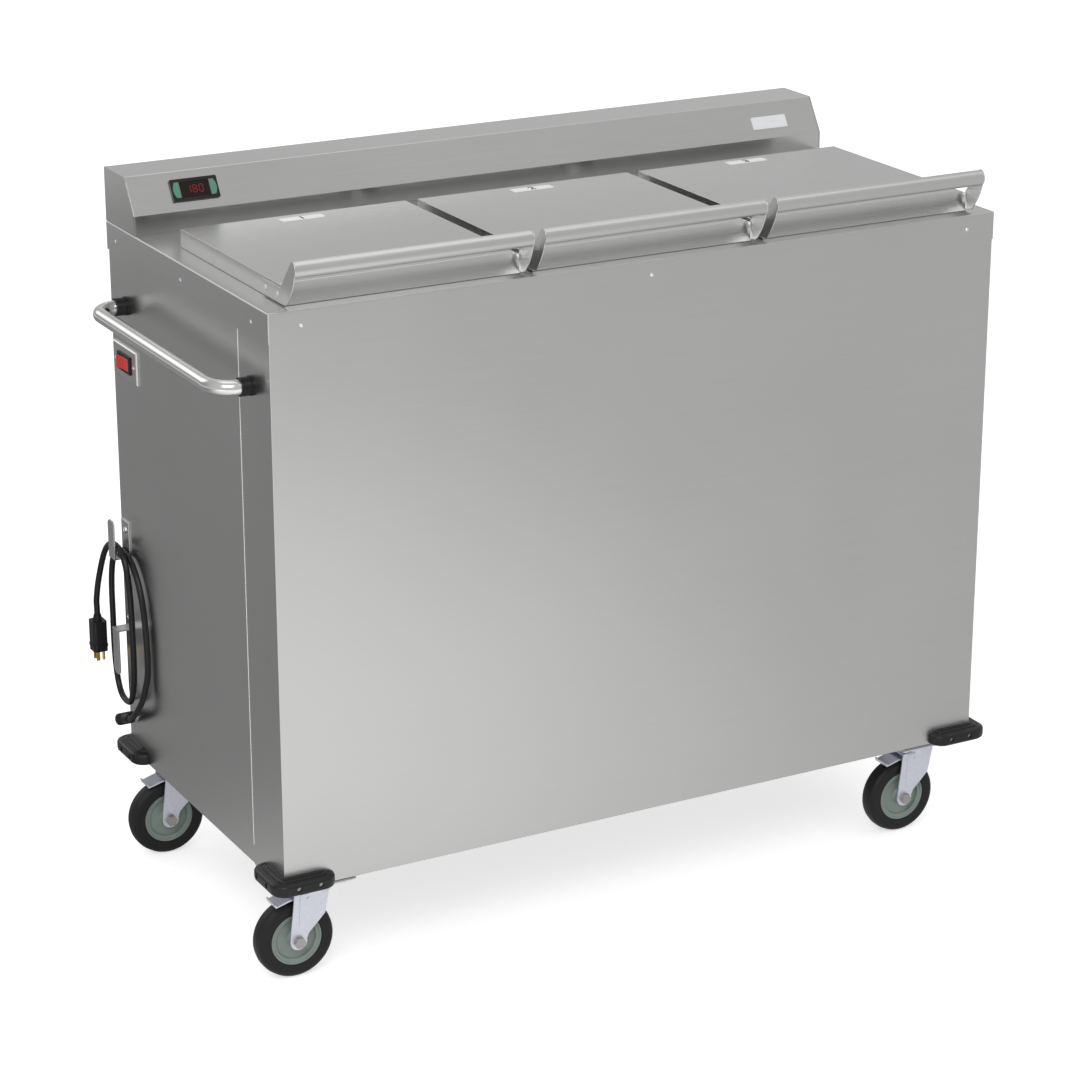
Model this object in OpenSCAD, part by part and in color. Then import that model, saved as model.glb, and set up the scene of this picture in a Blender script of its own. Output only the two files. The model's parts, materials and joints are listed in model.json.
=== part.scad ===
// Heated plate dispenser: a stainless steel cart on four braked swivel casters.
// Three self-levelling wells sit under hinged lids. A sloped console carries the
// temperature controller, and the left side carries the push handle, the mains
// switch and a cord wound on a bracket. Millimetres, floor at z = 0, front at -Y.

/* [Cabinet] */
// Width of the body over the returns of its front panel
body_w = 1251; // [1230:1:1290]
// Depth of the body over its front and rear panels
body_d = 615; // [600:1:640]
// Height of the panels' lower edge above the floor
panel_z = 168; // [166:1:175]
// Height of the deck's top face above the floor
deck_z = 1066; // [1045:1:1100]
// Thickness of the cabinet's sheet steel
sheet = 1.5; // [1.2:0.1:1.8]
// Drop of the deck's skirt over the panels
skirt_h = 45; // [35:1:55]
// Width of the hem along the panels' lower edges
hem_w = 10; // [8:0.5:10]
// Length of the front panel's returns along the sides
return_l = 110.5; // [95:0.5:130]
// Lap of the side panels under those returns
return_lap = 25; // [18:1:32]

/* [Chassis] */
// Width of the base angle's legs
angle_w = 40; // [32:1:45]
// Thickness of the frame's angles, channels and rails
angle_t = 3; // [2.5:0.1:3.5]
// Width of the corner posts' legs
post_w = 26; // [22:1:27]
// Width of the top rails under the deck
rail_w = 30; // [24:1:34]
// Depth of the caster channels below the base angle
channel_h = 11.5; // [9:0.5:13]
// Height of the base pan's turned-up rim
pan_rim = 14; // [8:1:20]

/* [Wells] */
// Inset of a well liner from its lid's edges
liner_inset = 19.5; // [17:0.5:22]
// Radius of the liner's folded upright corners
liner_r = 2.5; // [2:0.5:5]
// Width of the liner's rim on the deck
rim_w = 11; // [8:1:11]
// Room for the heater between the base pan and a well's floor
heater_room = 21; // [20:1:30]
// Diameter of the heating elements
element_d = 8; // [6:0.5:9]
// Clearance between the liner and its hole in the deck
liner_gap = 1; // [0.5:0.1:1.5]
// Depth of a well's collar below the deck
collar_h = 68; // [60:1:90]
// Seam between a well's collar and the pan below it
collar_seam = 0.3; // [0.2:0.1:0.6]

/* [Lift] */
// Gap between the platform and the liner's wall
platform_gap = 6; // [4:0.5:8]
// Depth of the raised platform below the deck
platform_drop = 56; // [50:1:70]
// Travel of a platform
travel = 550; // [450:1:560]
// Height of the carriage between its plate and its lower bar
carriage_h = 240; // [220:1:250]
// Diameter of the guide rods
rod_d = 10; // [8:0.5:12]
// Inset of the guide rods from the liner's wall
rod_inset = 10.5; // [10:0.5:12]
// Width of the platform's hangers
hanger_w = 40; // [34:1:44]
// Running clearance of the guide bushes, on the radius
rod_fit = 0.05; // [0.03:0.01:0.1]
// Outer diameter of the lift springs
spring_d = 14; // [12:0.5:15]
// Distance of the lift springs from the guide rod
spring_off = 40; // [34:1:44]

/* [Lids] */
// Distance of the outer lids from the body's sides
lid_margin = 36; // [33:0.5:40]
// Gap between neighbouring lids
lid_gap = 21; // [18:0.5:24]
// Distance of the lids from the body's front face
lid_back = 23.5; // [22:0.5:26]
// Depth of a lid
lid_d = 379; // [374:1:382]
// Height of a lid's top face above the deck
lid_h = 29; // [26:0.5:34]
// Run of the lid's sloping front face
lid_slope = 19; // [14:1:22]
// Gap between a closed lid's flanges and the deck
lid_seat = 0.3; // [0.2:0.1:0.6]
// Radius of the hinge's knuckles
knuckle_r = 3.5; // [3.2:0.1:3.6]
// Radius of the hinge's pin
hinge_pin_r = 1.6; // [1.4:0.1:1.8]
// Running clearance of the hinge pin, on the radius
hinge_fit = 0.05; // [0.03:0.01:0.08]
// Length of one knuckle and the gap beside it
knuckle_pitch = 38; // [34:1:40]
// Number of knuckles in a hinge
knuckles = 9; // [7:2:9]
// Gap between two knuckles
knuckle_gap = 0.4; // [0.3:0.1:0.8]
// Width of the hinge's leaf on the deck
leaf_w = 20; // [16:1:22]
// Height of the hinge's leaf on the lid
leaf_h = 16; // [12:0.5:17]

/* [Lid handles] */
// Radius of the handle's bar
bar_r = 12.9; // [11:0.1:13.5]
// Distance of the bar's flat back from its centre
bar_flat = 6.7; // [5:0.1:9]
// Wall of the bar
bar_wall = 1.5; // [1.2:0.1:2]
// Distance of the bar's centre in front of the lid
bar_out = 30; // [28:0.5:31]
// Height of the bar's centre above the lid's top face
bar_up = 31.3; // [30:0.1:36]
// Length of the end plates' straps along the lid
strap_l = 70; // [60:1:80]
// Height of those straps
strap_h = 23; // [20:0.5:25]
// Thickness of the handle's end plates
ear_t = 2; // [1.5:0.1:3]
// Rim of the end plates around the bar
ear_rim = 0.8; // [0.5:0.1:1.5]

/* [Console] */
// Depth of the console at its foot
console_d = 116.5; // [110:0.5:120]
// Height of the console's upright front face
console_front_h = 30.5; // [26:0.5:36]
// Height of the console above the deck
console_h = 85.5; // [82:0.5:100]
// Depth of the console's top face
console_top_d = 82; // [76:0.5:88]
// Inset of the console's ends from the deck's edge
console_inset = 1; // [0.5:0.5:3]
// Width of the flanges that stand on the deck
foot_w = 14; // [10:1:20]

/* [Controller] */
// Distance of the controller's centre from the console's left end
ctrl_x = 109; // [80:1:160]
// Width of the controller's bezel
ctrl_w = 78; // [76:0.5:84]
// Height of the controller's bezel
ctrl_h = 36; // [34:0.5:40]
// Thickness of the bezel
ctrl_t = 3.5; // [3.2:0.1:4.5]
// Depth of the controller's case behind the bezel
ctrl_depth = 50; // [40:1:56]
// Width of the display window
lens_w = 46; // [42:0.5:47]
// Height of the display window
lens_h = 26; // [22:0.5:28]
// Travel of the controller's keys
key_travel = 0.8; // [0.5:0.1:1]

/* [Switch] */
// Width of the switch plate
plate_w = 96; // [90:1:104]
// Height of the switch plate
plate_h = 54; // [50:1:60]
// Thickness of the switch plate
plate_t = 4; // [3:0.5:5]
// Distance of the switch's centre from the body's rear face
switch_y = 55.5; // [54:0.5:75]
// Depth of the switch's centre below the deck
switch_z = 217; // [190:1:260]
// Length of the rocker
rocker_l = 37; // [34:0.5:38]
// Width of the rocker
rocker_w = 20; // [18:0.5:21]
// Tilt of the rocker to either side
rocker_tilt = 7.5; // [5:0.5:8]

/* [Push handle] */
// Diameter of the handle's tube
tube_d = 23; // [20:0.5:26]
// Wall of the handle's tube
tube_wall = 1.6; // [1.2:0.1:2.5]
// Distance of the tube's centre from the side panel
tube_out = 56; // [50:1:70]
// Distance between the handle's two legs
tube_span = 484; // [440:2:500]
// Radius of the tube's bends, on its centre line
tube_bend = 38; // [32:1:42]
// Depth of the handle below the deck
tube_z = 122.5; // [100:0.5:150]
// Outer diameter of the handle's bushings
bushing_d = 28; // [27:0.5:34]
// Length of the handle's bushings
bushing_l = 20; // [14:1:22]
// Clearance of the tube in its bushing, on the radius
bushing_fit = 0.1; // [0.05:0.05:0.3]

/* [Cord bracket] */
// Thickness of the bracket's steel
bracket_t = 2.5; // [2:0.1:3]
// Width of the strip on the panel
strip_w = 30; // [26:1:32]
// Width of the bracket's arms and tongues
tongue_w = 25; // [20:1:26]
// Distance of the strip's centre from the body's rear face
bracket_y = 19.5; // [19:0.5:24]
// Height of the strip's foot above the floor
strip_z = 264; // [240:1:300]
// Height of the strip
strip_h = 311; // [300:1:330]
// Height of the lower arm above the strip's foot
arm_low = 128; // [115:1:135]
// Height of the upper arm above the strip's foot
arm_high = 252; // [248:1:254]
// Reach of the arms from the strip to the tongues
arm_reach = 22; // [22:0.5:24]
// Length of the upper tongue
tongue_up = 64; // [56:1:70]
// Length of the lower tongue
tongue_down = 77; // [66:1:90]

/* [Cord] */
// Diameter of the cord
cord_d = 10; // [9:0.1:10.2]
// Diameter of the cord grip's body
grip_d = 20; // [18:0.5:22]
// Reach of the cord grip from its locknut
grip_l = 29; // [27:0.5:32]
// Diameter of the grip's threaded neck
neck_d = 16; // [13:0.5:16]
// Width of the plug's body
plug_w = 27; // [25:0.5:30]
// Thickness of the plug's body
plug_t = 24; // [22:0.5:28]
// Length of the plug's body
plug_l = 52; // [44:1:58]
// Length of the plug's blades
blade_l = 17; // [15:0.5:19]

/* [Corner bumpers] */
// Thickness of the bumpers
bumper_t = 24; // [20:0.5:28]
// Height of the bumpers
bumper_h = 24; // [20:0.5:30]
// Length of the arms along the front and rear
bumper_x = 80.5; // [70:0.5:100]
// Length of the arms along the sides
bumper_y = 77.5; // [70:0.5:100]
// Depth of the grooves along the bumpers
groove_d = 1.2; // [0.6:0.1:2]
// Diameter of the bumper screws' heads
screw_d = 7; // [5:0.5:8]

/* [Casters] */
// Diameter of the wheels
wheel_d = 127; // [122:0.5:127]
// Width of the wheels
wheel_w = 32; // [28:0.5:34]
// Diameter of the wheels' hubs
hub_d = 83; // [76:0.5:90]
// Offset of the axle behind the swivel
trail = 34; // [30:0.5:36]
// Distance of the swivel from the body's side
caster_in_x = 68.7; // [66:0.1:76]
// Distance of the swivel from the body's front or rear
caster_in_y = 53.9; // [52:0.1:62]
// Length of the mounting plate
mount_x = 105; // [100:0.5:106]
// Width of the mounting plate
mount_y = 79; // [74:0.5:90]
// Thickness of the mounting plate
mount_t = 3; // [2.5:0.1:3]
// Diameter of the swivel's kingpin
kingpin_d = 12; // [10:0.5:14]
// Diameter of the axle
axle_d = 10; // [8:0.5:12]
// Running clearance of kingpin, axle and brake pin, on the radius
caster_fit = 0.05; // [0.03:0.01:0.1]
// Gap between the fork's legs
fork_in = 40; // [38:0.5:44]
// Thickness of the fork's legs
fork_t = 3; // [2.5:0.1:3.5]
// Diameter of the brake pedal's pin
brake_pin_d = 5; // [4:0.5:6]
// Width of the brake pedal
pedal_w = 34; // [30:0.5:36]
// Reach of the pedal from its pin
pedal_l = 49; // [44:0.5:52]
// Thickness of the pedal
pedal_t = 3; // [2.5:0.1:3.5]

/* [Hidden] */
$fn = 48;

// Body: outer faces, inner faces and the plane under the deck
bx = body_w / 2;
by = body_d / 2;
side_x = bx - sheet;
in_x = side_x - sheet;
in_y = by - sheet;
frame_y = in_y - sheet;
under_deck = deck_z - sheet;
deck_x = bx + sheet;
deck_y = by + sheet;
base_z = panel_z + sheet;
floor_z = base_z + angle_t;
pan_top = floor_z + sheet;

// Push handle and bumpers set the overall width, which is centred on x = 0
tube_x = side_x + tube_out;
cab_x = (tube_x + tube_d / 2 - bx - bumper_t) / 2;

// Wells
lid_w = (body_w - 2 * lid_margin - 2 * lid_gap) / 3;
bay_pitch = lid_w + lid_gap;
bay_y = -by + lid_back + lid_d / 2;
liner_w = lid_w - 2 * liner_inset;
liner_d = lid_d - 2 * liner_inset;
bay_xs = [-bay_pitch, 0, bay_pitch];
liner_in = liner_w / 2 - sheet;
liner_iny = liner_d / 2 - sheet;
liner_z = pan_top + heater_room;
collar_z = deck_z - collar_h;
well_floor = liner_z + sheet;

// Lift
platform_z = deck_z - platform_drop;
rod_r = rod_d / 2;
rod_x = liner_in - rod_inset;
shelf_t = 2;
bar_t = 3;
bush_r = rod_r + 4;
bracket_top = deck_z - 17;
hook_z = bracket_top - bar_t;
bar_z = platform_z - carriage_h;
notch_w = spring_d + 6;
plate_r = 8;
spring_end = spring_d / 2 + 5;

// Lids
lid_top = deck_z + lid_h;
lid_front = bay_y - lid_d / 2;
lid_rear = bay_y + lid_d / 2;
skirt_z = deck_z + lid_seat;
hinge_y = lid_rear + knuckle_r + 0.5;
hinge_z = deck_z + lid_seat + knuckle_r;
hinge_l = knuckles * knuckle_pitch;
leaf_gap = 0.5;

// Lid handles: centre of the bar, and the lean of its flat back
bar_y = lid_front - bar_out;
bar_z2 = lid_top + bar_up;
bar_lean = 40.2;
strap_z = deck_z + 2.5;

// Console: its section, seen from the right
console_z = deck_z + console_h;
console_x = deck_x - console_inset;
console_foot = deck_y - console_d;
console_pts = [
    [console_foot, deck_z],
    [deck_y, deck_z],
    [deck_y, console_z],
    [deck_y - console_top_d, console_z],
    [console_foot, deck_z + console_front_h]];
slope_mid = (console_pts[3] + console_pts[4]) / 2;
slope_dir = console_pts[3] - console_pts[4];
slope_a = atan2(slope_dir[1], slope_dir[0]);
ctrl_at = -console_x + ctrl_x;
case_w = ctrl_w - 8;
case_h = ctrl_h - 8;
case_gap = 0.5;
key_gap = 0.3;
key_proud = 0.6;

// Switch
sw_y = by - switch_y;
sw_z = deck_z - switch_z;
frame_l = rocker_l + 15;
frame_w = rocker_w + 9;
frame_t = 2.5;
case_l = rocker_l + 7;
case_wide = rocker_w + 5;
rocker_pivot = side_x + plate_t - 6;
rocker_pin_r = 1.5;

// Cord: every point is measured from the bracket's foot on the panel
foot_at = [-side_x, by - bracket_y, strip_z];
grip_z = -31;
grip_y = 2;
nut_t = 3;
elbow = [-21, grip_y, grip_z];
boot_a = 20;
boot_dir = [0, -cos(boot_a), sin(boot_a)];
boot_l = 32;
plug_at = [-29, 74, 130];
wind_z = 131;
lead = [[-20, -56, -2], [-15, -74, 24], [-11, -82, 50]];
tail = [[-26, 71, 186]];
wind_turn = 0.8;

// Casters
cx = bx - caster_in_x;
cy = by - caster_in_y;
mount_z = base_z - channel_h;
plate_z = mount_z - mount_t;
axle_z = wheel_d / 2;
axle_r = axle_d / 2;
kingpin_r = kingpin_d / 2;
race_r = 29;
race_gap = 0.3;
race_z = plate_z - 4;
crown_z = plate_z - 16;
crown_t = 4;
leg_y = fork_in / 2;
end_r = 14;
pedal_x = -17;
pedal_z = crown_z - 6.2;
brake_r = brake_pin_d / 2;
barrel_r = brake_r + 2;
bolt_d = 8;
bolt_x = mount_x / 2 - 12.8;
bolt_y = mount_y / 2 - 10.9;

// Moves a piece from the cabinet's centre to the model's origin
module at_cabinet() {
    translate([cab_x, 0, 0])
        children();
}

// Extrudes a (y, z) outline along X, from x0 to x1
module along_x(x0, x1) {
    translate([x0, 0, 0])
        rotate([90, 0, 90])
            linear_extrude(height = x1 - x0)
                children();
}

// Extrudes an (x, z) outline along Y, from y0 to y1
module along_y(y0, y1) {
    translate([0, y1, 0])
        rotate([90, 0, 0])
            linear_extrude(height = y1 - y0)
                children();
}

// Extrudes an (x, y) outline along Z, from z0 to z1
module along_z(z0, z1) {
    translate([0, 0, z0])
        linear_extrude(height = z1 - z0)
            children();
}

// A box from its lowest to its highest corner
module box(lo, hi) {
    translate(lo)
        cube(hi - lo);
}

// A rectangle centred on the origin, with round corners
module round_rect(w, d, r) {
    square([w - 2 * r, d], center = true);
    square([w, d - 2 * r], center = true);
    for (i = [-1, 1])
        for (j = [-1, 1])
            translate([i * (w / 2 - r), j * (d / 2 - r)])
                circle(r = r);
}

// Mirrors copies over x = 0, over y = 0 or over both
module both_x() {
    children();
    mirror([1, 0, 0])
        children();
}

module both_y() {
    children();
    mirror([0, 1, 0])
        children();
}

// Outline of a convex anticlockwise polygon, moved inwards by t
function edge_in(p, q, t) =
    let (d = (q - p) / norm(q - p))
    [p + t * [-d[1], d[0]], d];
function meet(a, b) =
    a[0] + a[1] * cross(b[0] - a[0], b[1]) / cross(a[1], b[1]);
function inset(p, t) =
    let (n = len(p))
    [for (i = [0:n - 1])
        meet(edge_in(p[(i + n - 1) % n], p[i], t),
            edge_in(p[i], p[(i + 1) % n], t))];

// Points on an arc from angle a0 to a1
function arc(c, r, a0, a1, n) =
    [for (i = [0:n])
        let (a = a0 + (a1 - a0) * i / n)
        c + r * [cos(a), sin(a)]];

// Chassis: base angle, posts, top rails and caster channels, welded into one
module ring_angle(z_flat, z_edge) {
    z0 = min(z_flat, z_edge);
    difference() {
        box([-in_x, -in_y, z0], [in_x, frame_y, z0 + abs(z_edge - z_flat)]);
        box([-in_x + angle_t, -in_y + angle_t, z0 - 1],
            [in_x - angle_t, frame_y - angle_t, z0 + abs(z_edge - z_flat) + 1]);
    }
}

module ring_flat(z, w) {
    difference() {
        box([-in_x, -in_y, z], [in_x, frame_y, z + angle_t]);
        box([-in_x + w, -in_y + w, z - 1], [in_x - w, frame_y - w, z + angle_t + 1]);
    }
}

module post(sx, sy) {
    y_face = sy < 0 ? -in_y : frame_y;
    x_face = sx * in_x;
    box([min(x_face, x_face - sx * post_w), min(y_face, y_face - sy * angle_t), base_z],
        [max(x_face, x_face - sx * post_w), max(y_face, y_face - sy * angle_t), under_deck]);
    box([min(x_face, x_face - sx * angle_t), min(y_face, y_face - sy * post_w), base_z],
        [max(x_face, x_face - sx * angle_t), max(y_face, y_face - sy * post_w), under_deck]);
}

module channel() {
    w = caster_in_x - 2 * sheet - hem_w - 0.7;
    y1 = in_y - hem_w - 0.5;
    box([cx - w, -y1, mount_z], [cx + w, y1, mount_z + angle_t]);
    box([cx - w, -y1, mount_z], [cx - w + angle_t, y1, base_z]);
    box([cx + w - angle_t, -y1, mount_z], [cx + w, y1, base_z]);
}

module chassis_frame() {
    color("slategray")
        at_cabinet()
            difference() {
                union() {
                    ring_angle(base_z, base_z + angle_w);
                    ring_flat(base_z, angle_w);
                    ring_angle(under_deck - rail_w, under_deck);
                    ring_flat(under_deck - angle_t, rail_w);
                    for (sx = [-1, 1])
                        for (sy = [-1, 1])
                            post(sx, sy);
                    for (x = [-bay_pitch / 2, bay_pitch / 2])
                        box([x - rail_w / 2, -in_y + angle_t, under_deck - rail_w],
                            [x + rail_w / 2, frame_y - angle_t, under_deck]);
                    both_x()
                        channel();
                }
                translate(foot_at + [-1, grip_y, grip_z])
                    rotate([0, 90, 0])
                        cylinder(d = neck_d + 2, h = 40);
            }
}

module base_pan() {
    edge = angle_t + 0.5;
    color("silver")
        at_cabinet()
            difference() {
                box([-in_x + edge, -in_y + edge, floor_z],
                    [in_x - edge, frame_y - edge, floor_z + pan_rim]);
                box([-in_x + edge + sheet, -in_y + edge + sheet, pan_top],
                    [in_x - edge - sheet, frame_y - edge - sheet, floor_z + pan_rim + 1]);
                for (sx = [-1, 1])
                    for (sy = [-1, 1])
                        box([min(sx * in_x, sx * (in_x - post_w - 1)),
                                sy < 0 ? -in_y : frame_y - post_w - 1, floor_z - 1],
                            [max(sx * in_x, sx * (in_x - post_w - 1)),
                                sy < 0 ? -in_y + post_w + 1 : frame_y, floor_z + pan_rim + 1]);
            }
}

// Body panels
module front_panel() {
    y1 = -by + return_l;
    color("lightgray")
        at_cabinet() {
            difference() {
                box([-bx, -by, panel_z], [bx, y1, under_deck]);
                box([-side_x, -in_y, panel_z - 1], [side_x, y1 + 1, under_deck + 1]);
            }
            box([-side_x, -by, panel_z], [side_x, -by + hem_w, base_z]);
        }
}

module side_sheet() {
    y0 = -by + return_l - return_lap;
    box([in_x, y0, panel_z], [side_x, in_y, under_deck]);
    box([in_x - hem_w, y0, panel_z], [side_x, in_y, base_z]);
    box([in_x - return_lap, frame_y, base_z], [side_x, in_y, under_deck]);
}

module left_side_panel() {
    color("darkgray")
        at_cabinet()
            difference() {
                mirror([1, 0, 0])
                    side_sheet();
                translate(foot_at + [-1, grip_y, grip_z])
                    rotate([0, 90, 0])
                        cylinder(d = neck_d + 0.8, h = 4);
                translate([-side_x, sw_y, sw_z])
                    cube([10, case_l + 1, case_wide + 1], center = true);
            }
}

module right_side_panel() {
    color("darkgray")
        at_cabinet()
            side_sheet();
}

module rear_panel() {
    color("lightgray")
        at_cabinet() {
            box([-side_x, in_y, panel_z], [side_x, by, under_deck]);
            box([-in_x + hem_w, by - hem_w, panel_z], [in_x - hem_w, by, base_z]);
        }
}

// Deck: a cap with a skirt and one opening for each well
module top_deck() {
    g = 2 * liner_gap;
    color("gainsboro")
        at_cabinet()
            difference() {
                box([-deck_x, -deck_y, deck_z - skirt_h], [deck_x, deck_y, deck_z]);
                box([-bx, -by, deck_z - skirt_h - 1], [bx, by, under_deck]);
                for (x = bay_xs)
                    translate([x, bay_y, 0])
                        along_z(under_deck - 1, deck_z + 1)
                            round_rect(liner_w + g, liner_d + g, liner_r + liner_gap);
            }
}

// Wells: a deep pan, and above it a collar with the rim that lies on the deck
module bay_liners() {
    color("lightgray")
        at_cabinet()
            for (x = bay_xs)
                translate([x, bay_y, 0])
                    difference() {
                        union() {
                            along_z(liner_z, collar_z - collar_seam)
                                round_rect(liner_w, liner_d, liner_r);
                            along_z(collar_z, deck_z + sheet)
                                round_rect(liner_w, liner_d, liner_r);
                            along_z(deck_z, deck_z + sheet)
                                round_rect(liner_w + 2 * rim_w, liner_d + 2 * rim_w,
                                    liner_r + rim_w);
                        }
                        along_z(well_floor, deck_z + sheet + 1)
                            round_rect(2 * liner_in, 2 * liner_iny, liner_r - sheet);
                    }
}

// Lift: guide rods with their top brackets, a sprung carriage in each well
module guide_rods() {
    color("gainsboro")
        at_cabinet()
            for (x = bay_xs)
                translate([x, bay_y, 0])
                    both_x() {
                        translate([rod_x, 0, well_floor])
                            cylinder(r = rod_r, h = bracket_top + 3 - well_floor);
                        box([rod_x - rod_r - 3, -spring_off - spring_end, hook_z],
                            [liner_in, spring_off + spring_end, bracket_top]);
                        box([liner_in - sheet, -spring_off - spring_end, hook_z - 14],
                            [liner_in, spring_off + spring_end, bracket_top]);
                    }
}

module lift_springs(n) {
    z0 = bar_z + bar_t + 0.3;
    color("dimgray")
        at_cabinet()
            translate([bay_xs[n - 1], bay_y, z0])
                both_x()
                    both_y()
                        translate([rod_x - 1, spring_off, 0])
                            difference() {
                                cylinder(d = spring_d, h = hook_z - 0.3 - z0);
                                translate([0, 0, 3])
                                    cylinder(d = spring_d - 4, h = hook_z - z0);
                            }
}

module platform(n) {
    half = liner_in - platform_gap;
    half_y = liner_iny - platform_gap;
    edge = half - plate_r - 4;
    h = hanger_w / 2;
    arm_x = rod_x - rod_r - 10;
    color("silver")
        at_cabinet()
            translate([bay_xs[n - 1], bay_y, 0])
                difference() {
                    union() {
                        // Plate with turned-down front and rear edges
                        along_z(platform_z - shelf_t, platform_z)
                            round_rect(2 * half, 2 * half_y, plate_r);
                        both_y()
                            box([-edge, half_y - shelf_t, platform_z - 16],
                                [edge, half_y, platform_z]);
                        // Hangers and the lower bar
                        both_x() {
                            box([arm_x - bar_t, -h, bar_z], [arm_x, h, platform_z - 1]);
                            translate([rod_x, 0, platform_z - 12])
                                cylinder(r = bush_r, h = 12);
                            translate([rod_x, 0, bar_z])
                                cylinder(r = bush_r, h = 16);
                            box([arm_x - 1, -8, platform_z - shelf_t], [rod_x, 8, platform_z]);
                            box([arm_x - 12, -spring_off - spring_end, bar_z],
                                [rod_x + 4, spring_off + spring_end, bar_z + bar_t]);
                        }
                        box([-arm_x, -h, bar_z], [arm_x, h, bar_z + bar_t]);
                        box([-arm_x, -h, bar_z], [arm_x, -h + bar_t, bar_z + 18]);
                        box([-arm_x, h - bar_t, bar_z], [arm_x, h, bar_z + 18]);
                    }
                    both_x() {
                        translate([rod_x, 0, bar_z - 1])
                            cylinder(r = rod_r + rod_fit, h = carriage_h + 2);
                        // Room for the springs beside the bushes
                        both_y()
                            box([rod_x - 1 - notch_w / 2, spring_off - notch_w / 2,
                                    platform_z - 20],
                                [half + 1, spring_off + notch_w / 2, platform_z + 1]);
                    }
                }
}

// Heating elements: a bent tube on two stands under each well
module heater_elements() {
    run = 0.176 * liner_d;
    reach = 0.324 * liner_w;
    r = element_d / 2;
    z = pan_top + 0.57 * heater_room;
    stand = 0.4 * element_d;
    color("dimgray")
        at_cabinet()
            for (x = bay_xs)
                translate([x, bay_y, 0]) {
                    for (i = [-1:1])
                        translate([-reach, i * run, z])
                            rotate([0, 90, 0])
                                cylinder(r = r, h = 2 * reach);
                    translate([reach, run / 2, z])
                        rotate([0, 0, -90])
                            rotate_extrude(angle = 180)
                                translate([run / 2, 0])
                                    circle(r = r);
                    translate([-reach, -run / 2, z])
                        rotate([0, 0, 90])
                            rotate_extrude(angle = 180)
                                translate([run / 2, 0])
                                    circle(r = r);
                    both_x()
                        box([reach - 6 * r, -run - 2 * r, pan_top],
                            [reach - 3 * r, run + 2 * r, z + stand - r]);
                }
}

// Lid hinges: fixed leaves on the deck, pins, and moving knuckles on the lids
module knuckle_row(first) {
    for (i = [first:2:knuckles - 1])
        translate([-hinge_l / 2 + i * knuckle_pitch + knuckle_gap / 2, hinge_y, hinge_z])
            rotate([0, 90, 0])
                cylinder(r = knuckle_r, h = knuckle_pitch - knuckle_gap);
}

module tab_row(first, y0, y1, z0, z1) {
    for (i = [first:2:knuckles - 1]) {
        x = -hinge_l / 2 + i * knuckle_pitch;
        box([x + knuckle_gap / 2, y0, z0], [x + knuckle_pitch - knuckle_gap / 2, y1, z1]);
    }
}

module pin_bore() {
    translate([-hinge_l / 2 - 1, hinge_y, hinge_z])
        rotate([0, 90, 0])
            cylinder(r = hinge_pin_r + hinge_fit, h = hinge_l + 2);
}

module hinge_leaves() {
    y1 = hinge_y + knuckle_r + leaf_gap;
    color("silver")
        at_cabinet()
            for (x = bay_xs)
                translate([x, 0, 0])
                    difference() {
                        union() {
                            knuckle_row(0);
                            tab_row(0, hinge_y, y1, deck_z, deck_z + sheet);
                            box([-hinge_l / 2, y1, deck_z],
                                [hinge_l / 2, y1 + leaf_w, deck_z + sheet]);
                        }
                        pin_bore();
                    }
}

module hinge_pins() {
    color("gainsboro")
        at_cabinet()
            for (x = bay_xs)
                translate([x - hinge_l / 2 + 0.5, hinge_y, hinge_z])
                    rotate([0, 90, 0])
                        cylinder(r = hinge_pin_r, h = hinge_l - 1);
}

// Lid: a pan folded down on all four sides, with a sloping front
module lid(n) {
    lid_x = lid_w / 2;
    drop = 40;
    run = lid_slope * (lid_h + drop) / lid_h;
    outer = [
        [lid_rear, lid_top - lid_h - drop],
        [lid_rear, lid_top],
        [lid_front + lid_slope, lid_top],
        [lid_front + lid_slope - run, lid_top - lid_h - drop]];
    color("silver")
        at_cabinet()
            translate([bay_xs[n - 1], 0, 0])
                difference() {
                    union() {
                        difference() {
                            intersection() {
                                along_x(-lid_x, lid_x)
                                    polygon(outer);
                                box([-lid_x, lid_front - 5, skirt_z],
                                    [lid_x, lid_rear + 1, lid_top + 1]);
                            }
                            along_x(-lid_x + sheet, lid_x - sheet)
                                polygon(inset(outer, sheet));
                            box([-lid_x + sheet, lid_rear - sheet - 1, deck_z - 1],
                                [lid_x - sheet, lid_rear + 1, hinge_z - 0.8]);
                        }
                        // Cheeks that stand upright beside the sloping front
                        for (x = [-lid_x, lid_x - sheet])
                            box([x, lid_front + 1, skirt_z],
                                [x + sheet, lid_front + lid_slope + 2, lid_top]);
                        // Moving half of the hinge
                        knuckle_row(1);
                        tab_row(1, lid_rear - sheet / 2, lid_rear + sheet, hinge_z, hinge_z + 6);
                        box([-hinge_l / 2, lid_rear - sheet / 2, hinge_z + knuckle_r + 0.7],
                            [hinge_l / 2, lid_rear + sheet, hinge_z + knuckle_r + leaf_h]);
                    }
                    pin_bore();
                }
}

// Lid handle: a D-shaped bar between two end plates with straps
module bar_section(r, flat) {
    difference() {
        circle(r = r, $fn = 72);
        rotate(bar_lean)
            translate([flat, -2 * r])
                square([2 * r, 4 * r]);
    }
}

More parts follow.
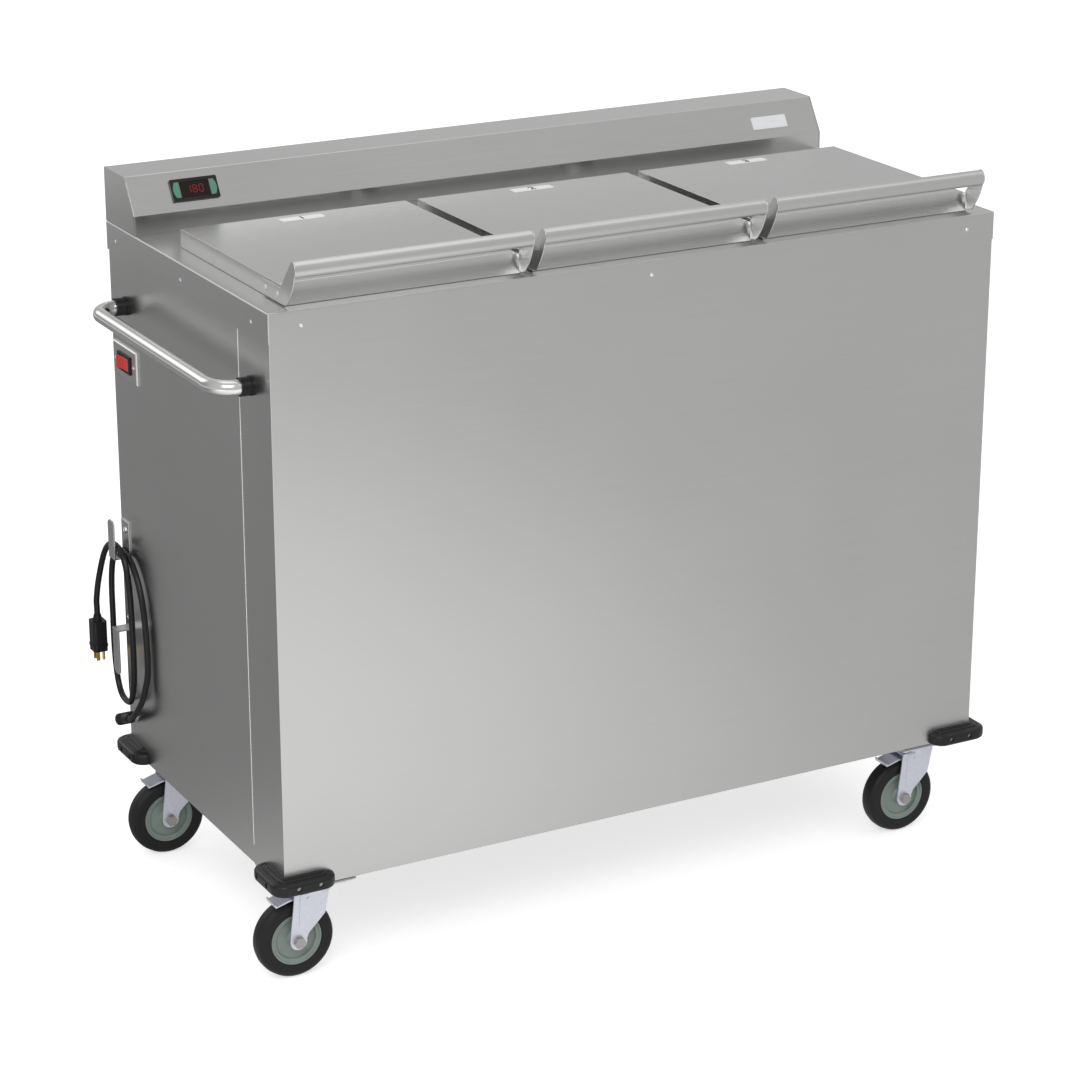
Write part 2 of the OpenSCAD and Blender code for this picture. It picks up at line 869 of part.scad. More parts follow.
module lid_handle(n) {
    lid_x = lid_w / 2;
    r = bar_r + ear_rim;
    flat = bar_flat + ear_rim;
    a_top = bar_lean + acos(flat / r);
    back = [bar_y, bar_z2] + flat * [cos(bar_lean), sin(bar_lean)];
    fall = (back[1] - lid_top - 1) / cos(bar_lean);
    foot = back + fall * [sin(bar_lean), -cos(bar_lean)];
    nose = [bar_y, bar_z2] + r * [cos(226), sin(226)];
    toe = [lid_front - 13, strap_z + 2];
    step = nose - toe;
    ear = concat(
        [[lid_front + 1, strap_z], [lid_front + strap_l, strap_z],
            [lid_front + strap_l, strap_z + strap_h],
            [lid_front + 9, strap_z + strap_h], foot],
        arc([bar_y, bar_z2], r, a_top, 226, 14),
        [toe + [step[0] * 0.86, step[1] * 0.75], toe + [step[0] * 0.6, step[1] * 0.46],
            toe + [step[0] * 0.17, step[1] * 0.1], toe]);
    color("lightgray")
        at_cabinet()
            translate([bay_xs[n - 1], 0, 0]) {
                for (x = [-lid_x - ear_t, lid_x])
                    along_x(x, x + ear_t)
                        polygon(ear);
                along_x(-lid_x, lid_x)
                    translate([bar_y, bar_z2])
                        difference() {
                            bar_section(bar_r, bar_flat);
                            bar_section(bar_r - bar_wall, bar_flat - bar_wall);
                        }
            }
}

// Console: a folded housing with a sloping front, closed by two end caps
module on_slope(x) {
    translate([x, slope_mid[0], slope_mid[1]])
        rotate([slope_a, 0, 0])
            children();
}

module console_housing() {
    x1 = console_x - sheet;
    color("lightgray")
        at_cabinet()
            difference() {
                along_x(-x1, x1)
                    polygon(console_pts);
                along_x(-x1 - 1, x1 + 1)
                    polygon(inset(console_pts, sheet));
                box([-x1 - 1, console_foot + foot_w, deck_z - 1],
                    [x1 + 1, deck_y - foot_w, deck_z + sheet + 1]);
                on_slope(ctrl_at)
                    cube([case_w + 2 * case_gap, case_h + 2 * case_gap, 20], center = true);
            }
}

module console_end_caps() {
    color("darkgray")
        at_cabinet()
            both_x()
                along_x(console_x - sheet, console_x)
                    polygon(console_pts);
}

// Controller: a bezel and case in the slope, a display window and two keys
module key_face(grow) {
    intersection() {
        translate([-14.2, 0])
            circle(r = 22 + grow, $fn = 72);
        translate([-40, -12.5 - grow])
            square([40 - lens_w / 2 - 2 + grow, 25 + 2 * grow]);
    }
}

module controller_body() {
    color("black")
        at_cabinet()
            on_slope(ctrl_at)
                difference() {
                    union() {
                        along_z(0, ctrl_t)
                            round_rect(ctrl_w, ctrl_h, 2);
                        box([-case_w / 2, -case_h / 2, -ctrl_depth], [case_w / 2, case_h / 2, 0]);
                    }
                    along_z(ctrl_t - 1.2, ctrl_t + 1)
                        square([lens_w + 0.4, lens_h + 0.4], center = true);
                    both_x()
                        along_z(ctrl_t - 2.6, ctrl_t + 1)
                            key_face(key_gap);
                }
}

module controller_lens() {
    color("darkred")
        at_cabinet()
            on_slope(ctrl_at)
                along_z(ctrl_t - 1.2, ctrl_t - 0.2)
                    square([lens_w, lens_h], center = true);
}

module controller_key() {
    along_z(ctrl_t - 2.6 + key_travel + 0.2, ctrl_t + key_proud)
        key_face(0);
}

module controller_key_left() {
    color("seagreen")
        at_cabinet()
            on_slope(ctrl_at)
                controller_key();
}

module controller_key_right() {
    color("seagreen")
        at_cabinet()
            on_slope(ctrl_at)
                mirror([1, 0, 0])
                    controller_key();
}

// Mains switch: a bevelled plate, a framed case and a rocker on two pins
module at_switch() {
    translate([0, sw_y, sw_z])
        children();
}

module switch_plate() {
    x0 = -side_x;
    x1 = -side_x - plate_t;
    bevel = plate_t / 2;
    color("silver")
        at_cabinet()
            at_switch()
                difference() {
                    intersection() {
                        along_z(-plate_h / 2, plate_h / 2)
                            polygon([[x0, -plate_w / 2], [x0, plate_w / 2],
                                [x1 + bevel, plate_w / 2], [x1, plate_w / 2 - bevel],
                                [x1, -plate_w / 2 + bevel], [x1 + bevel, -plate_w / 2]]);
                        along_y(-plate_w / 2, plate_w / 2)
                            polygon([[x0, -plate_h / 2], [x0, plate_h / 2],
                                [x1 + bevel, plate_h / 2], [x1, plate_h / 2 - bevel],
                                [x1, -plate_h / 2 + bevel], [x1 + bevel, -plate_h / 2]]);
                    }
                    box([x1 - 1, -case_l / 2 - 0.5, -case_wide / 2 - 0.5],
                        [x0 + 1, case_l / 2 + 0.5, case_wide / 2 + 0.5]);
                }
}

module switch_body() {
    x0 = -side_x - plate_t;
    color("black")
        at_cabinet()
            at_switch()
                difference() {
                    union() {
                        box([x0 - frame_t, -frame_l / 2, -frame_w / 2],
                            [x0, frame_l / 2, frame_w / 2]);
                        box([x0, -case_l / 2, -case_wide / 2],
                            [x0 + 34, case_l / 2, case_wide / 2]);
                    }
                    box([x0 - frame_t - 1, -rocker_l / 2 - 1.5, -rocker_w / 2 - 0.4],
                        [x0 + 14, rocker_l / 2 + 1.5, rocker_w / 2 + 0.4]);
                    translate([-rocker_pivot, 0, -rocker_w / 2 - 2])
                        cylinder(r = rocker_pin_r + 0.05, h = rocker_w + 4, $fn = 32);
                }
}

module rocker() {
    rise = rocker_l / 2 * tan(rocker_tilt);
    face = 9;
    color("red")
        at_cabinet()
            at_switch()
                translate([-rocker_pivot, 0, 0])
                    rotate([0, 0, rocker_tilt]) {
                        along_z(-rocker_w / 2, rocker_w / 2)
                            polygon([[-face - rise, -rocker_l / 2], [-face, 0],
                                [-face - rise, rocker_l / 2], [-face + 5, rocker_l / 2 - 0.5],
                                [0, rocker_l / 2 - 5], [3, 3], [3, -3],
                                [0, -rocker_l / 2 + 5], [-face + 5, -rocker_l / 2 + 0.5]]);
                        translate([0, 0, -rocker_w / 2 - 1.6])
                            cylinder(r = rocker_pin_r, h = rocker_w + 3.2, $fn = 32);
                    }
}

// Push handle: a bent tube on two bushings
module tube_run(d) {
    y1 = tube_span / 2;
    for (s = [-1, 1]) {
        x0 = s < 0 ? -bx : -side_x;
        translate([-tube_x + tube_bend, s * y1, 0])
            rotate([0, 90, 0])
                cylinder(d = d, h = x0 + tube_x - tube_bend);
        translate([-tube_x + tube_bend, s * (y1 - tube_bend), 0])
            rotate([0, 0, s < 0 ? 180 : 90])
                rotate_extrude(angle = 90)
                    translate([tube_bend, 0])
                        circle(d = d);
    }
    translate([-tube_x, -y1 + tube_bend, 0])
        rotate([-90, 0, 0])
            cylinder(d = d, h = tube_span - 2 * tube_bend);
}

module push_handle() {
    color("gainsboro")
        at_cabinet()
            translate([0, 0, deck_z - tube_z])
                difference() {
                    tube_run(tube_d);
                    tube_run(tube_d - 2 * tube_wall);
                }
}

module handle_bushings() {
    color("black")
        at_cabinet()
            for (s = [-1, 1]) {
                x0 = s < 0 ? -bx : -side_x;
                translate([x0 - bushing_l, s * tube_span / 2, deck_z - tube_z])
                    rotate([0, 90, 0])
                        difference() {
                            union() {
                                cylinder(d = bushing_d, h = bushing_l - 3);
                                translate([0, 0, bushing_l - 4])
                                    cylinder(d = bushing_d + 2, h = 4);
                            }
                            translate([0, 0, -1])
                                cylinder(d = tube_d + 2 * bushing_fit, h = bushing_l + 2);
                        }
            }
}

// Cord bracket: a strip on the panel with two arms that end in tongues
module tongue(z0, z1, tip) {
    half = tongue_w / 2;
    cut = 6;
    x0 = -bracket_t - arm_reach - bracket_t;
    pts = tip > 0
        ? [[-half, z0], [half, z0], [half, z1 - cut], [half - cut, z1],
            [-half + cut, z1], [-half, z1 - cut]]
        : [[-half, z1], [-half, z0 + cut], [-half + cut, z0],
            [half - cut, z0], [half, z0 + cut], [half, z1]];
    along_x(x0, x0 + bracket_t)
        polygon(pts);
}

module cord_bracket() {
    reach = 2 * bracket_t + arm_reach;
    color("silver")
        at_cabinet()
            translate(foot_at) {
                along_x(-bracket_t, 0) {
                    translate([-strip_w / 2, strip_w / 2])
                        square([strip_w, strip_h - strip_w / 2]);
                    translate([0, strip_w / 2])
                        circle(d = strip_w);
                }
                for (z = [arm_low, arm_high])
                    box([-reach, -tongue_w / 2, z - bracket_t / 2],
                        [-bracket_t, tongue_w / 2, z + bracket_t / 2]);
                tongue(arm_high - bracket_t / 2, arm_high + tongue_up, 1);
                tongue(arm_low - tongue_down, arm_low + bracket_t / 2, -1);
            }
}

// Cord grip: a locknut on the panel and an elbow with a tapered boot
module cord_locknut() {
    color("gainsboro")
        at_cabinet()
            translate(foot_at + [-nut_t, grip_y, grip_z])
                rotate([0, 90, 0])
                    difference() {
                        cylinder(d = neck_d + 8, h = nut_t, $fn = 8);
                        translate([0, 0, -1])
                            cylinder(d = neck_d + 0.4, h = nut_t + 2);
                    }
}

module cord_grip() {
    r = grip_d / 2;
    color("black")
        at_cabinet()
            translate(foot_at)
                union() {
                    translate([0, grip_y, grip_z])
                        rotate([0, -90, 0])
                            rotate_extrude()
                                polygon(concat(
                                    [[0, -10], [neck_d / 2, -10], [neck_d / 2, nut_t],
                                        [r, nut_t]],
                                    [for (a = [0:15:75])
                                        [r - 6 + 6 * cos(a), nut_t + grip_l - 6 + 6 * sin(a)]],
                                    [[r - 6, nut_t + grip_l], [0, nut_t + grip_l]]));
                    translate(elbow)
                        rotate([90 - boot_a, 0, 0])
                            difference() {
                                cylinder(r1 = 8.6, r2 = cord_d / 2 + 1.4, h = boot_l);
                                for (i = [1:3])
                                    translate([0, 0, 10 + 5 * i])
                                        rotate_extrude()
                                            translate([9.4 - 0.45 * i, 0])
                                                square([4, 1.6]);
                            }
                }
}

// Cord: lead from the grip, one and a half turns over the bracket, drop to the plug
function mix(a, b, t) = a + (b - a) * t;
function wind_ry(a) =
    a > 0 ? mix(51, 88, a / 180) : a > -180 ? mix(53, 51, (a + 180) / 180)
        : mix(77, 53, (a + 360) / 180);
function wind_rz(a) =
    a > -90 ? 129 : a > -270 ? mix(141, 129, (a + 270) / 180) : 141;
function wind_x(a) =
    a > 60 ? -8 : a > -90 ? mix(-14, -8, (a + 90) / 150)
        : a > -210 ? mix(-19, -14, (a + 210) / 120)
        : a > -290 ? -19 : mix(-25, -19, (a + 360) / 70);
function bow(v) = sign(v) * pow(abs(v), wind_turn);
function wind(a) =
    [wind_x(a), wind_ry(a) * bow(cos(a)), wind_z + wind_rz(a) * bow(sin(a))];
knots = concat(
    [elbow + (boot_l - 8) * boot_dir, elbow + boot_l * boot_dir,
        elbow + (boot_l + 12) * boot_dir],
    lead,
    [for (a = [198:-18:-324]) wind(a)],
    tail,
    [plug_at + [0, 0, 26], plug_at + [0, 0, 12], plug_at, plug_at - [0, 0, 10]]);
function spline(p, i, t) =
    0.5 * (2 * p[i] + (p[i + 1] - p[i - 1]) * t
        + (2 * p[i - 1] - 5 * p[i] + 4 * p[i + 1] - p[i + 2]) * t * t
        + (3 * p[i] - p[i - 1] - 3 * p[i + 1] + p[i + 2]) * t * t * t);
route = concat(
    [for (i = [1:len(knots) - 3])
        for (t = [0, 0.5])
            spline(knots, i, t)],
    [knots[len(knots) - 2]]);
cord_sides = 8;
last = len(route) - 1;
function unit(v) = v / norm(v);
function heading(i) =
    i == 0 ? boot_dir : i == last ? [0, 0, -1] : unit(route[i + 1] - route[i - 1]);
function side_of(i) =
    let (t = heading(i))
    unit([1, 0, 0] - t[0] * t);
cord_points = [for (i = [0:last])
    for (k = [0:cord_sides - 1])
        let (a = 360 * k / cord_sides, u = side_of(i), v = cross(heading(i), u))
        route[i] + cord_d / 2 * (cos(a) * u + sin(a) * v)];
cord_faces = concat(
    [[for (k = [0:cord_sides - 1]) k]],
    [for (i = [0:last - 1])
        for (k = [0:cord_sides - 1])
            let (a = i * cord_sides + k, b = i * cord_sides + (k + 1) % cord_sides)
            [b, a, a + cord_sides]],
    [for (i = [0:last - 1])
        for (k = [0:cord_sides - 1])
            let (a = i * cord_sides + k, b = i * cord_sides + (k + 1) % cord_sides)
            [b, a + cord_sides, b + cord_sides]],
    [[for (k = [cord_sides - 1:-1:0]) last * cord_sides + k]]);
function run_to(i) = i == 0 ? 0 : run_to(i - 1) + norm(route[i] - route[i - 1]);
cord_gap = min([for (i = [0:last])
    for (j = [i + 1:last])
        if (run_to(j) - run_to(i) > 60)
            norm(route[i] - route[j]) - cord_d]);

module power_cord() {
    echo(cord_length = run_to(last), least_gap = cord_gap, rings = last + 1);
    color("black")
        at_cabinet()
            translate(foot_at)
                polyhedron(points = cord_points, faces = cord_faces, convexity = 8);
}

// Plug: a moulded body with two flat blades and a round earth pin
module plug_body() {
    color("black")
        at_cabinet()
            translate(foot_at + plug_at) {
                translate([0, 0, -10])
                    cylinder(r1 = cord_d / 2 + 3, r2 = cord_d / 2 + 1.2, h = 10);
                along_z(-10 - plug_l, -10)
                    round_rect(plug_t, plug_w, 5);
                along_z(-10 - plug_l + 8, -10 - plug_l + 12)
                    round_rect(plug_t + 2, plug_w + 2, 6);
            }
}

module plug_blades() {
    z = -10 - plug_l - blade_l;
    color("goldenrod")
        at_cabinet()
            translate(foot_at + plug_at) {
                for (y = [-6.35, 6.35])
                    box([-4 - 3.15, y - 0.75, z], [-4 + 3.15, y + 0.75, z + blade_l]);
                translate([7.9, 0, z - 2])
                    cylinder(d = 4.8, h = blade_l + 2, $fn = 24);
            }
}

// Corner bumpers: one grooved section swept round each corner
module bumper_section() {
    t = bumper_t;
    h = bumper_h;
    difference() {
        polygon([[0, 0], [t - 4, 0], [t - 1, 2.2], [t, 6], [t, h - 9], [t - 1.2, h - 6.4],
            [t - 4, h - 4.6], [0, h]]);
        for (d = [0.24, 0.55])
            translate([d * t, h - 4.6 * d * t / (t - 4)])
                polygon([[-1.7, 1.5], [-1.2, -groove_d], [1.2, -groove_d], [1.7, 1.5]]);
    }
}

module bumper_turn(a) {
    rotate([0, 0, a])
        rotate_extrude(angle = 90)
            bumper_section();
}

// One bumper, with the body's corner at the origin and its arms along -X and -Y
module bumper_piece() {
    lx = bumper_x - bumper_t;
    ly = bumper_y - bumper_t;
    difference() {
        union() {
            bumper_turn(0);
            translate([-lx, 0, 0])
                rotate([90, 0, 90])
                    linear_extrude(height = lx)
                        bumper_section();
            rotate([90, 0, 0])
                linear_extrude(height = ly)
                    bumper_section();
            translate([-lx, 0, 0])
                bumper_turn(90);
            translate([0, -ly, 0])
                bumper_turn(-90);
        }
        bumper_holes(screw_d / 2 + 0.4, 6);
    }
}

module bumper_holes(r, depth) {
    z = (bumper_h - 3) / 2;
    for (p = [14, 50]) {
        translate([-p, bumper_t - depth, z])
            rotate([-90, 0, 0])
                cylinder(r = r, h = depth + 1, $fn = 32);
        translate([bumper_t - depth, -p, z])
            rotate([0, 90, 0])
                cylinder(r = r, h = depth + 1, $fn = 32);
    }
}

module bumper_heads() {
    z = (bumper_h - 3) / 2;
    for (p = [14, 50]) {
        translate([-p, bumper_t - 6, z])
            rotate([-90, 0, 0])
                cylinder(d = screw_d, h = 3.4, $fn = 32);
        translate([bumper_t - 6, -p, z])
            rotate([0, 90, 0])
                cylinder(d = screw_d, h = 3.4, $fn = 32);
    }
}

module at_corners() {
    translate([0, 0, panel_z]) {
        for (s = [-1, 1]) {
            mirror([s < 0 ? 1 : 0, 0, 0]) {
                translate([side_x, by, 0])
                    children();
                translate([bx, -by, 0])
                    mirror([0, 1, 0])
                        children();
            }
        }
    }
}

module corner_bumpers() {
    color("black")
        at_cabinet()
            at_corners()
                bumper_piece();
}

module bumper_screws() {
    color("gainsboro")
        at_cabinet()
            at_corners()
                bumper_heads();
}

// Casters: plates with the upper race and kingpin on the cabinet
module at_caster(sx, sy) {
    at_cabinet()
        translate([sx * cx, sy * cy, 0])
            children();
}

module caster_plates() {
    color("lightsteelblue")
        for (sx = [-1, 1])
            for (sy = [-1, 1])
                at_caster(sx, sy)
                    difference() {
                        union() {
                            along_z(plate_z, mount_z)
                                round_rect(mount_x, mount_y, 6);
                            translate([0, 0, race_z])
                                cylinder(r = race_r + 2, h = plate_z - race_z);
                            translate([0, 0, crown_z - 5])
                                cylinder(r = kingpin_r, h = plate_z - crown_z + 5);
                            translate([0, 0, crown_z - 5])
                                cylinder(d = 1.6 * kingpin_d, h = 4.7, $fn = 6);
                            for (i = [-1, 1])
                                for (j = [-1, 1])
                                    translate([i * bolt_x, j * bolt_y, plate_z - bolt_d / 2])
                                        cylinder(d = 1.5 * bolt_d, h = bolt_d / 2, $fn = 6);
                        }
                        translate([0, 0, mount_z - 1])
                            cylinder(d = 24, h = 2);
                    }
}

// Fork: crown with the lower race, two legs, a brake pin and the axle bolt
leg_top = crown_z + crown_t;
leg_pts = concat(
    [[-39, leg_top], [-39 - 7, axle_z + 22]],
    arc([-trail, axle_z], end_r, 175, 372, 16),
    [[-trail + 17, axle_z + 11.5], [-trail + 31, axle_z + 25],
        [11, crown_z - 36], [15.5, crown_z - 14], [18.6, leg_top]]);
rib_pts = [[-30, leg_top - 2], [-33, axle_z + 26], [-27, axle_z + 19],
    [-trail + 24, axle_z + 24], [4, crown_z - 32], [10, leg_top - 2]];

module fork(sx, sy) {
    color("lightsteelblue")
        at_caster(sx, sy) {
            difference() {
                union() {
                    translate([0, 0, crown_z])
                        cylinder(r = race_r, h = race_z - race_gap - crown_z);
                    box([-39, -leg_y - fork_t, crown_z], [18.6, leg_y + fork_t, leg_top]);
                    both_y() {
                        along_y(leg_y, leg_y + fork_t)
                            polygon(leg_pts);
                        along_y(leg_y + fork_t, leg_y + fork_t + 1.2)
                            polygon(rib_pts);
                    }
                    translate([pedal_x, 0, pedal_z])
                        rotate([90, 0, 0])
                            cylinder(r = brake_r, h = fork_in + 2 * fork_t + 5, center = true);
                }
                translate([0, 0, crown_z - 1])
                    cylinder(r = kingpin_r + caster_fit, h = 20);
                translate([-trail, 0, axle_z])
                    rotate([90, 0, 0])
                        cylinder(r = axle_r + caster_fit, h = fork_in + 40, center = true);
            }
            // Axle bolt with its head and nut
            translate([-trail, 0, axle_z])
                rotate([90, 0, 0]) {
                    cylinder(r = axle_r, h = fork_in + 2 * fork_t + 4, center = true);
                    for (s = [-1, 1])
                        translate([0, 0, s * (leg_y + fork_t + 3.7)])
                            cylinder(d = 19, h = 7, center = true, $fn = 6);
                }
        }
}

module wheel_turn(sx, sy) {
    at_caster(sx, sy)
        translate([-trail, 0, axle_z])
            rotate([90, 0, 0])
                rotate_extrude($fn = 96)
                    children();
}

module tyre(sx, sy) {
    r = wheel_d / 2;
    w = wheel_w / 2;
    rim = hub_d / 2 + 0.1;
    color("black")
        wheel_turn(sx, sy)
            polygon([[rim, -w + 2.5], [rim + 1.5, -w + 0.5], [r - 9, -w], [r - 5, -w + 1.2],
                [r - 1.6, -w + 5], [r - 0.3, -w + 11], [r, -4], [r, 4], [r - 0.3, w - 11],
                [r - 1.6, w - 5], [r - 5, w - 1.2], [r - 9, w], [rim + 1.5, w - 0.5],
                [rim, w - 2.5]]);
}

module hub(sx, sy) {
    r = hub_d / 2;
    w = wheel_w / 2 - 2;
    len = leg_y - 0.5;
    bore = axle_r + caster_fit;
    color("darkseagreen")
        wheel_turn(sx, sy)
            polygon([[bore, -len], [11, -len], [12.5, -w + 2], [15, -w + 5], [r - 9, -w + 6],
                [r - 8, -w + 2], [r - 3.5, -w + 1.4], [r - 2.6, -w], [r, -w],
                [r, w], [r - 2.6, w], [r - 3.5, w - 1.4], [r - 8, w - 2], [r - 9, w - 6],
                [15, w - 5], [12.5, w - 2], [11, len], [bore, len]]);
}

// Brake pedal: a barrel on the pin and a bent plate over the tyre
module brake(sx, sy) {
    z = pedal_z;
    x1 = pedal_x - pedal_l;
    w = pedal_w / 2;
    low = axle_z + wheel_d / 2 + 3.6;
    tip = low - 6.5;
    color("lightsteelblue")
        at_caster(sx, sy)
            difference() {
                union() {
                    translate([pedal_x, 0, z])
                        rotate([90, 0, 0])
                            cylinder(r = barrel_r, h = 2 * w, center = true);
                    along_y(-w, w)
                        polygon([[pedal_x, low], [pedal_x, low + pedal_t],
                            [pedal_x - 27.6, low + pedal_t], [x1 - 0.6, tip + pedal_t],
                            [x1 - 1.2, tip + pedal_t + 3], [x1 - 3.4, tip + pedal_t + 2.6],
                            [x1 - 2, tip], [pedal_x - 27, low]]);
                }
                translate([pedal_x, 0, z])
                    rotate([90, 0, 0])
                        cylinder(r = brake_r + caster_fit, h = 2 * w + 2, center = true);
            }
}

chassis_frame();
base_pan();
front_panel();
rear_panel();
left_side_panel();
right_side_panel();
top_deck();
console_housing();
console_end_caps();
controller_body();
controller_lens();
controller_key_left();
controller_key_right();
switch_plate();
switch_body();
rocker();
push_handle();
handle_bushings();
cord_bracket();
cord_locknut();
cord_grip();
power_cord();
plug_body();
plug_blades();
corner_bumpers();
bumper_screws();
bay_liners();
guide_rods();
lift_springs(1);  // lift_springs_1
lift_springs(2);  // lift_springs_2
lift_springs(3);  // lift_springs_3
heater_elements();
hinge_leaves();
hinge_pins();
lid(1);  // lid_1
lid(2);  // lid_2
lid(3);  // lid_3
lid_handle(1);  // lid_handle_1
lid_handle(2);  // lid_handle_2
lid_handle(3);  // lid_handle_3
platform(1);  // platform_1
platform(2);  // platform_2
platform(3);  // platform_3
caster_plates();
fork(-1, -1);  // fork_front_left
fork(1, -1);  // fork_front_right
fork(-1, 1);  // fork_rear_left
fork(1, 1);  // fork_rear_right
tyre(-1, -1);  // tyre_front_left
tyre(1, -1);  // tyre_front_right
tyre(-1, 1);  // tyre_rear_left
tyre(1, 1);  // tyre_rear_right
hub(-1, -1);  // hub_front_left
hub(1, -1);  // hub_front_right
hub(-1, 1);  // hub_rear_left
hub(1, 1);  // hub_rear_right
brake(-1, -1);  // brake_front_left
brake(1, -1);  // brake_front_right
brake(-1, 1);  // brake_rear_left
brake(1, 1);  // brake_rear_right
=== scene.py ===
"""Heated plate dispenser: the looks of a stainless steel cart on four casters,
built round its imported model. Metres, floor at z = 0, lid handles at -Y."""

import json
import math

import bmesh
import bpy
from mathutils import Matrix, Vector


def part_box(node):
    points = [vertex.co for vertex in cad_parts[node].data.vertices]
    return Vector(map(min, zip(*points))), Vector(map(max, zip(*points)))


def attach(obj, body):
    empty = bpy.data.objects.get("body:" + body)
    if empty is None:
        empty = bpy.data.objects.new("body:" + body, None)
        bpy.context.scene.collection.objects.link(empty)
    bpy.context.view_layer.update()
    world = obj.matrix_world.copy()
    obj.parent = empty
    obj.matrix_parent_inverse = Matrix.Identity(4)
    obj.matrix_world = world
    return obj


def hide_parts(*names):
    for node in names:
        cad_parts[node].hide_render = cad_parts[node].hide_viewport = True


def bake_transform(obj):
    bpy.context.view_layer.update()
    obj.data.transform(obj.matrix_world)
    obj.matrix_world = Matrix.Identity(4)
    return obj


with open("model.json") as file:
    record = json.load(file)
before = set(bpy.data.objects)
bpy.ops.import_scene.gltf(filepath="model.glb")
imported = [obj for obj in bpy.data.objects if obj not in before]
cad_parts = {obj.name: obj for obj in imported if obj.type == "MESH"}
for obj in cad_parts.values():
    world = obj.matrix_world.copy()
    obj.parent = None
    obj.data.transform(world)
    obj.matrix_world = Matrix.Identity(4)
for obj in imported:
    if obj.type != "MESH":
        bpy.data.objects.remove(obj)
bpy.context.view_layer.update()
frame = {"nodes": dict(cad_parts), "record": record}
scene = bpy.context.scene

# Camera
# Stands in front of the cart's left end, above its deck, with a long lens, and
# looks down at the cart.
looks_down = 0.3429
looks_right = 0.4993
lens = bpy.data.cameras.new("camera")
lens.sensor_width = 36
lens.lens = 107.8
lens.clip_end = 60
camera = bpy.data.objects.new("camera", lens)
camera.location = (-2.3688, -4.3406, 2.2941)
camera.rotation_euler = (math.pi / 2 - looks_down, 0, -looks_right)
scene.collection.objects.link(camera)
scene.camera = camera


# Power cord
# A black three-core mains cord with a smooth rubber jacket. It leaves the grip
# low on the left side, winds over the bracket and drops to its plug.
class Socket:
    """A shader socket: operators add Math nodes, node() adds any other."""

    def __init__(self, tree, link=None):
        self.tree = tree
        self.link = link

    def node(self, kind, settings=None, sockets=None, out=0):
        made = self.tree.nodes.new(kind)
        for name, value in (settings or {}).items():
            setattr(made, name, value)
        for name, value in (sockets or {}).items():
            if isinstance(value, Socket):
                self.tree.links.new(value.link, made.inputs[name])
            else:
                made.inputs[name].default_value = value
        return Socket(self.tree, made.outputs[out] if made.outputs else None)

    def math(self, operation, *values):
        return self.node("ShaderNodeMath", {"operation": operation}, dict(enumerate(values)))

    def __add__(self, other):
        return self.math("ADD", self, other)

    def __sub__(self, other):
        return self.math("SUBTRACT", self, other)

    def __rsub__(self, other):
        return self.math("SUBTRACT", other, self)

    def __mul__(self, other):
        return self.math("MULTIPLY", self, other)

    __radd__ = __add__
    __rmul__ = __mul__


def new_finish(name):
    """Makes an empty material and gives it with its Object coordinates."""
    material = bpy.data.materials.new(name)
    material.use_nodes = True
    material.node_tree.nodes.clear()
    start = Socket(material.node_tree)
    return material, start.node("ShaderNodeTexCoord", out="Object")


def noise(at, scale, detail=2, rough=0.5):
    """Fractal noise; scale is one number or one for each axis, per metre."""
    if isinstance(scale, tuple):
        at = at.node("ShaderNodeMapping", {}, {"Vector": at, "Scale": scale})
        scale = 1
    sockets = {"Vector": at, "Scale": scale, "Detail": detail, "Roughness": rough}
    return at.node("ShaderNodeTexNoise", {}, sockets, "Fac")


def blend_colours(mask, low, high):
    """Mixes two linear colours by a mask."""
    colour_a, colour_b, colour_out = 6, 7, 2
    sockets = {"Factor": mask, colour_a: (*low, 1), colour_b: (*high, 1)}
    return mask.node("ShaderNodeMix", {"data_type": "RGBA"}, sockets, colour_out)


def bump(height, strength, depth):
    """A normal from a height; depth is the height's full range in metres."""
    sockets = {"Height": height, "Strength": strength, "Distance": depth}
    return height.node("ShaderNodeBump", {}, sockets)


def surface(material, **values):
    """Closes a material with a Principled shader."""
    sockets = {
        key.replace("_", " ").title().replace("Ior", "IOR"): value
        for key, value in values.items()
    }
    shader = Socket(material.node_tree).node("ShaderNodeBsdfPrincipled", {}, sockets)
    shader.node("ShaderNodeOutputMaterial", {}, {"Surface": shader})
    return material


def black_finish(name, tone, rough, grain, depth, gloss=0.0):
    """Black rubber or moulded plastic with a fine skin and handling marks."""
    material, at = new_finish(name)
    skin = noise(at, grain, detail=3)
    rub = noise(at, 22, detail=3, rough=0.6)
    worn = (tone * 1.7, tone * 1.7, tone * 1.75)
    return surface(
        material,
        base_color=blend_colours(rub, (tone, tone, tone), worn),
        roughness=rough - 0.07 + 0.14 * rub + 0.05 * skin,
        normal=bump(skin, strength=0.35, depth=depth),
        specular_ior_level=0.3,
        coat_weight=gloss,
        coat_roughness=0.25,
    )


def between(stops, at):
    """Reads a value between (place, value) stops in rising order."""
    for (near, low), (far, high) in zip(stops, stops[1:]):
        if at <= far:
            return low + (high - low) * (at - near) / (far - near)
    return stops[-1][1]


def cord_turn(angle):
    """A point on the cord's turns, in millimetres from the bracket's foot. They
    start beside the panel, and lie further out as the angle falls."""
    squareness = 0.8
    middle = 131
    half_width = between(((-360, 77), (-180, 53), (0, 51), (198, 91.7)), angle)
    half_height = between(((-360, 141), (-270, 141), (-90, 129), (198, 129)), angle)
    x = between(((-360, -25), (-290, -19), (-210, -19), (-90, -14), (60, -8), (198, -8)), angle)
    c, s = math.cos(math.radians(angle)), math.sin(math.radians(angle))
    return Vector((
        x,
        half_width * math.copysign(abs(c) ** squareness, c),
        middle + half_height * math.copysign(abs(s) ** squareness, s),
    ))


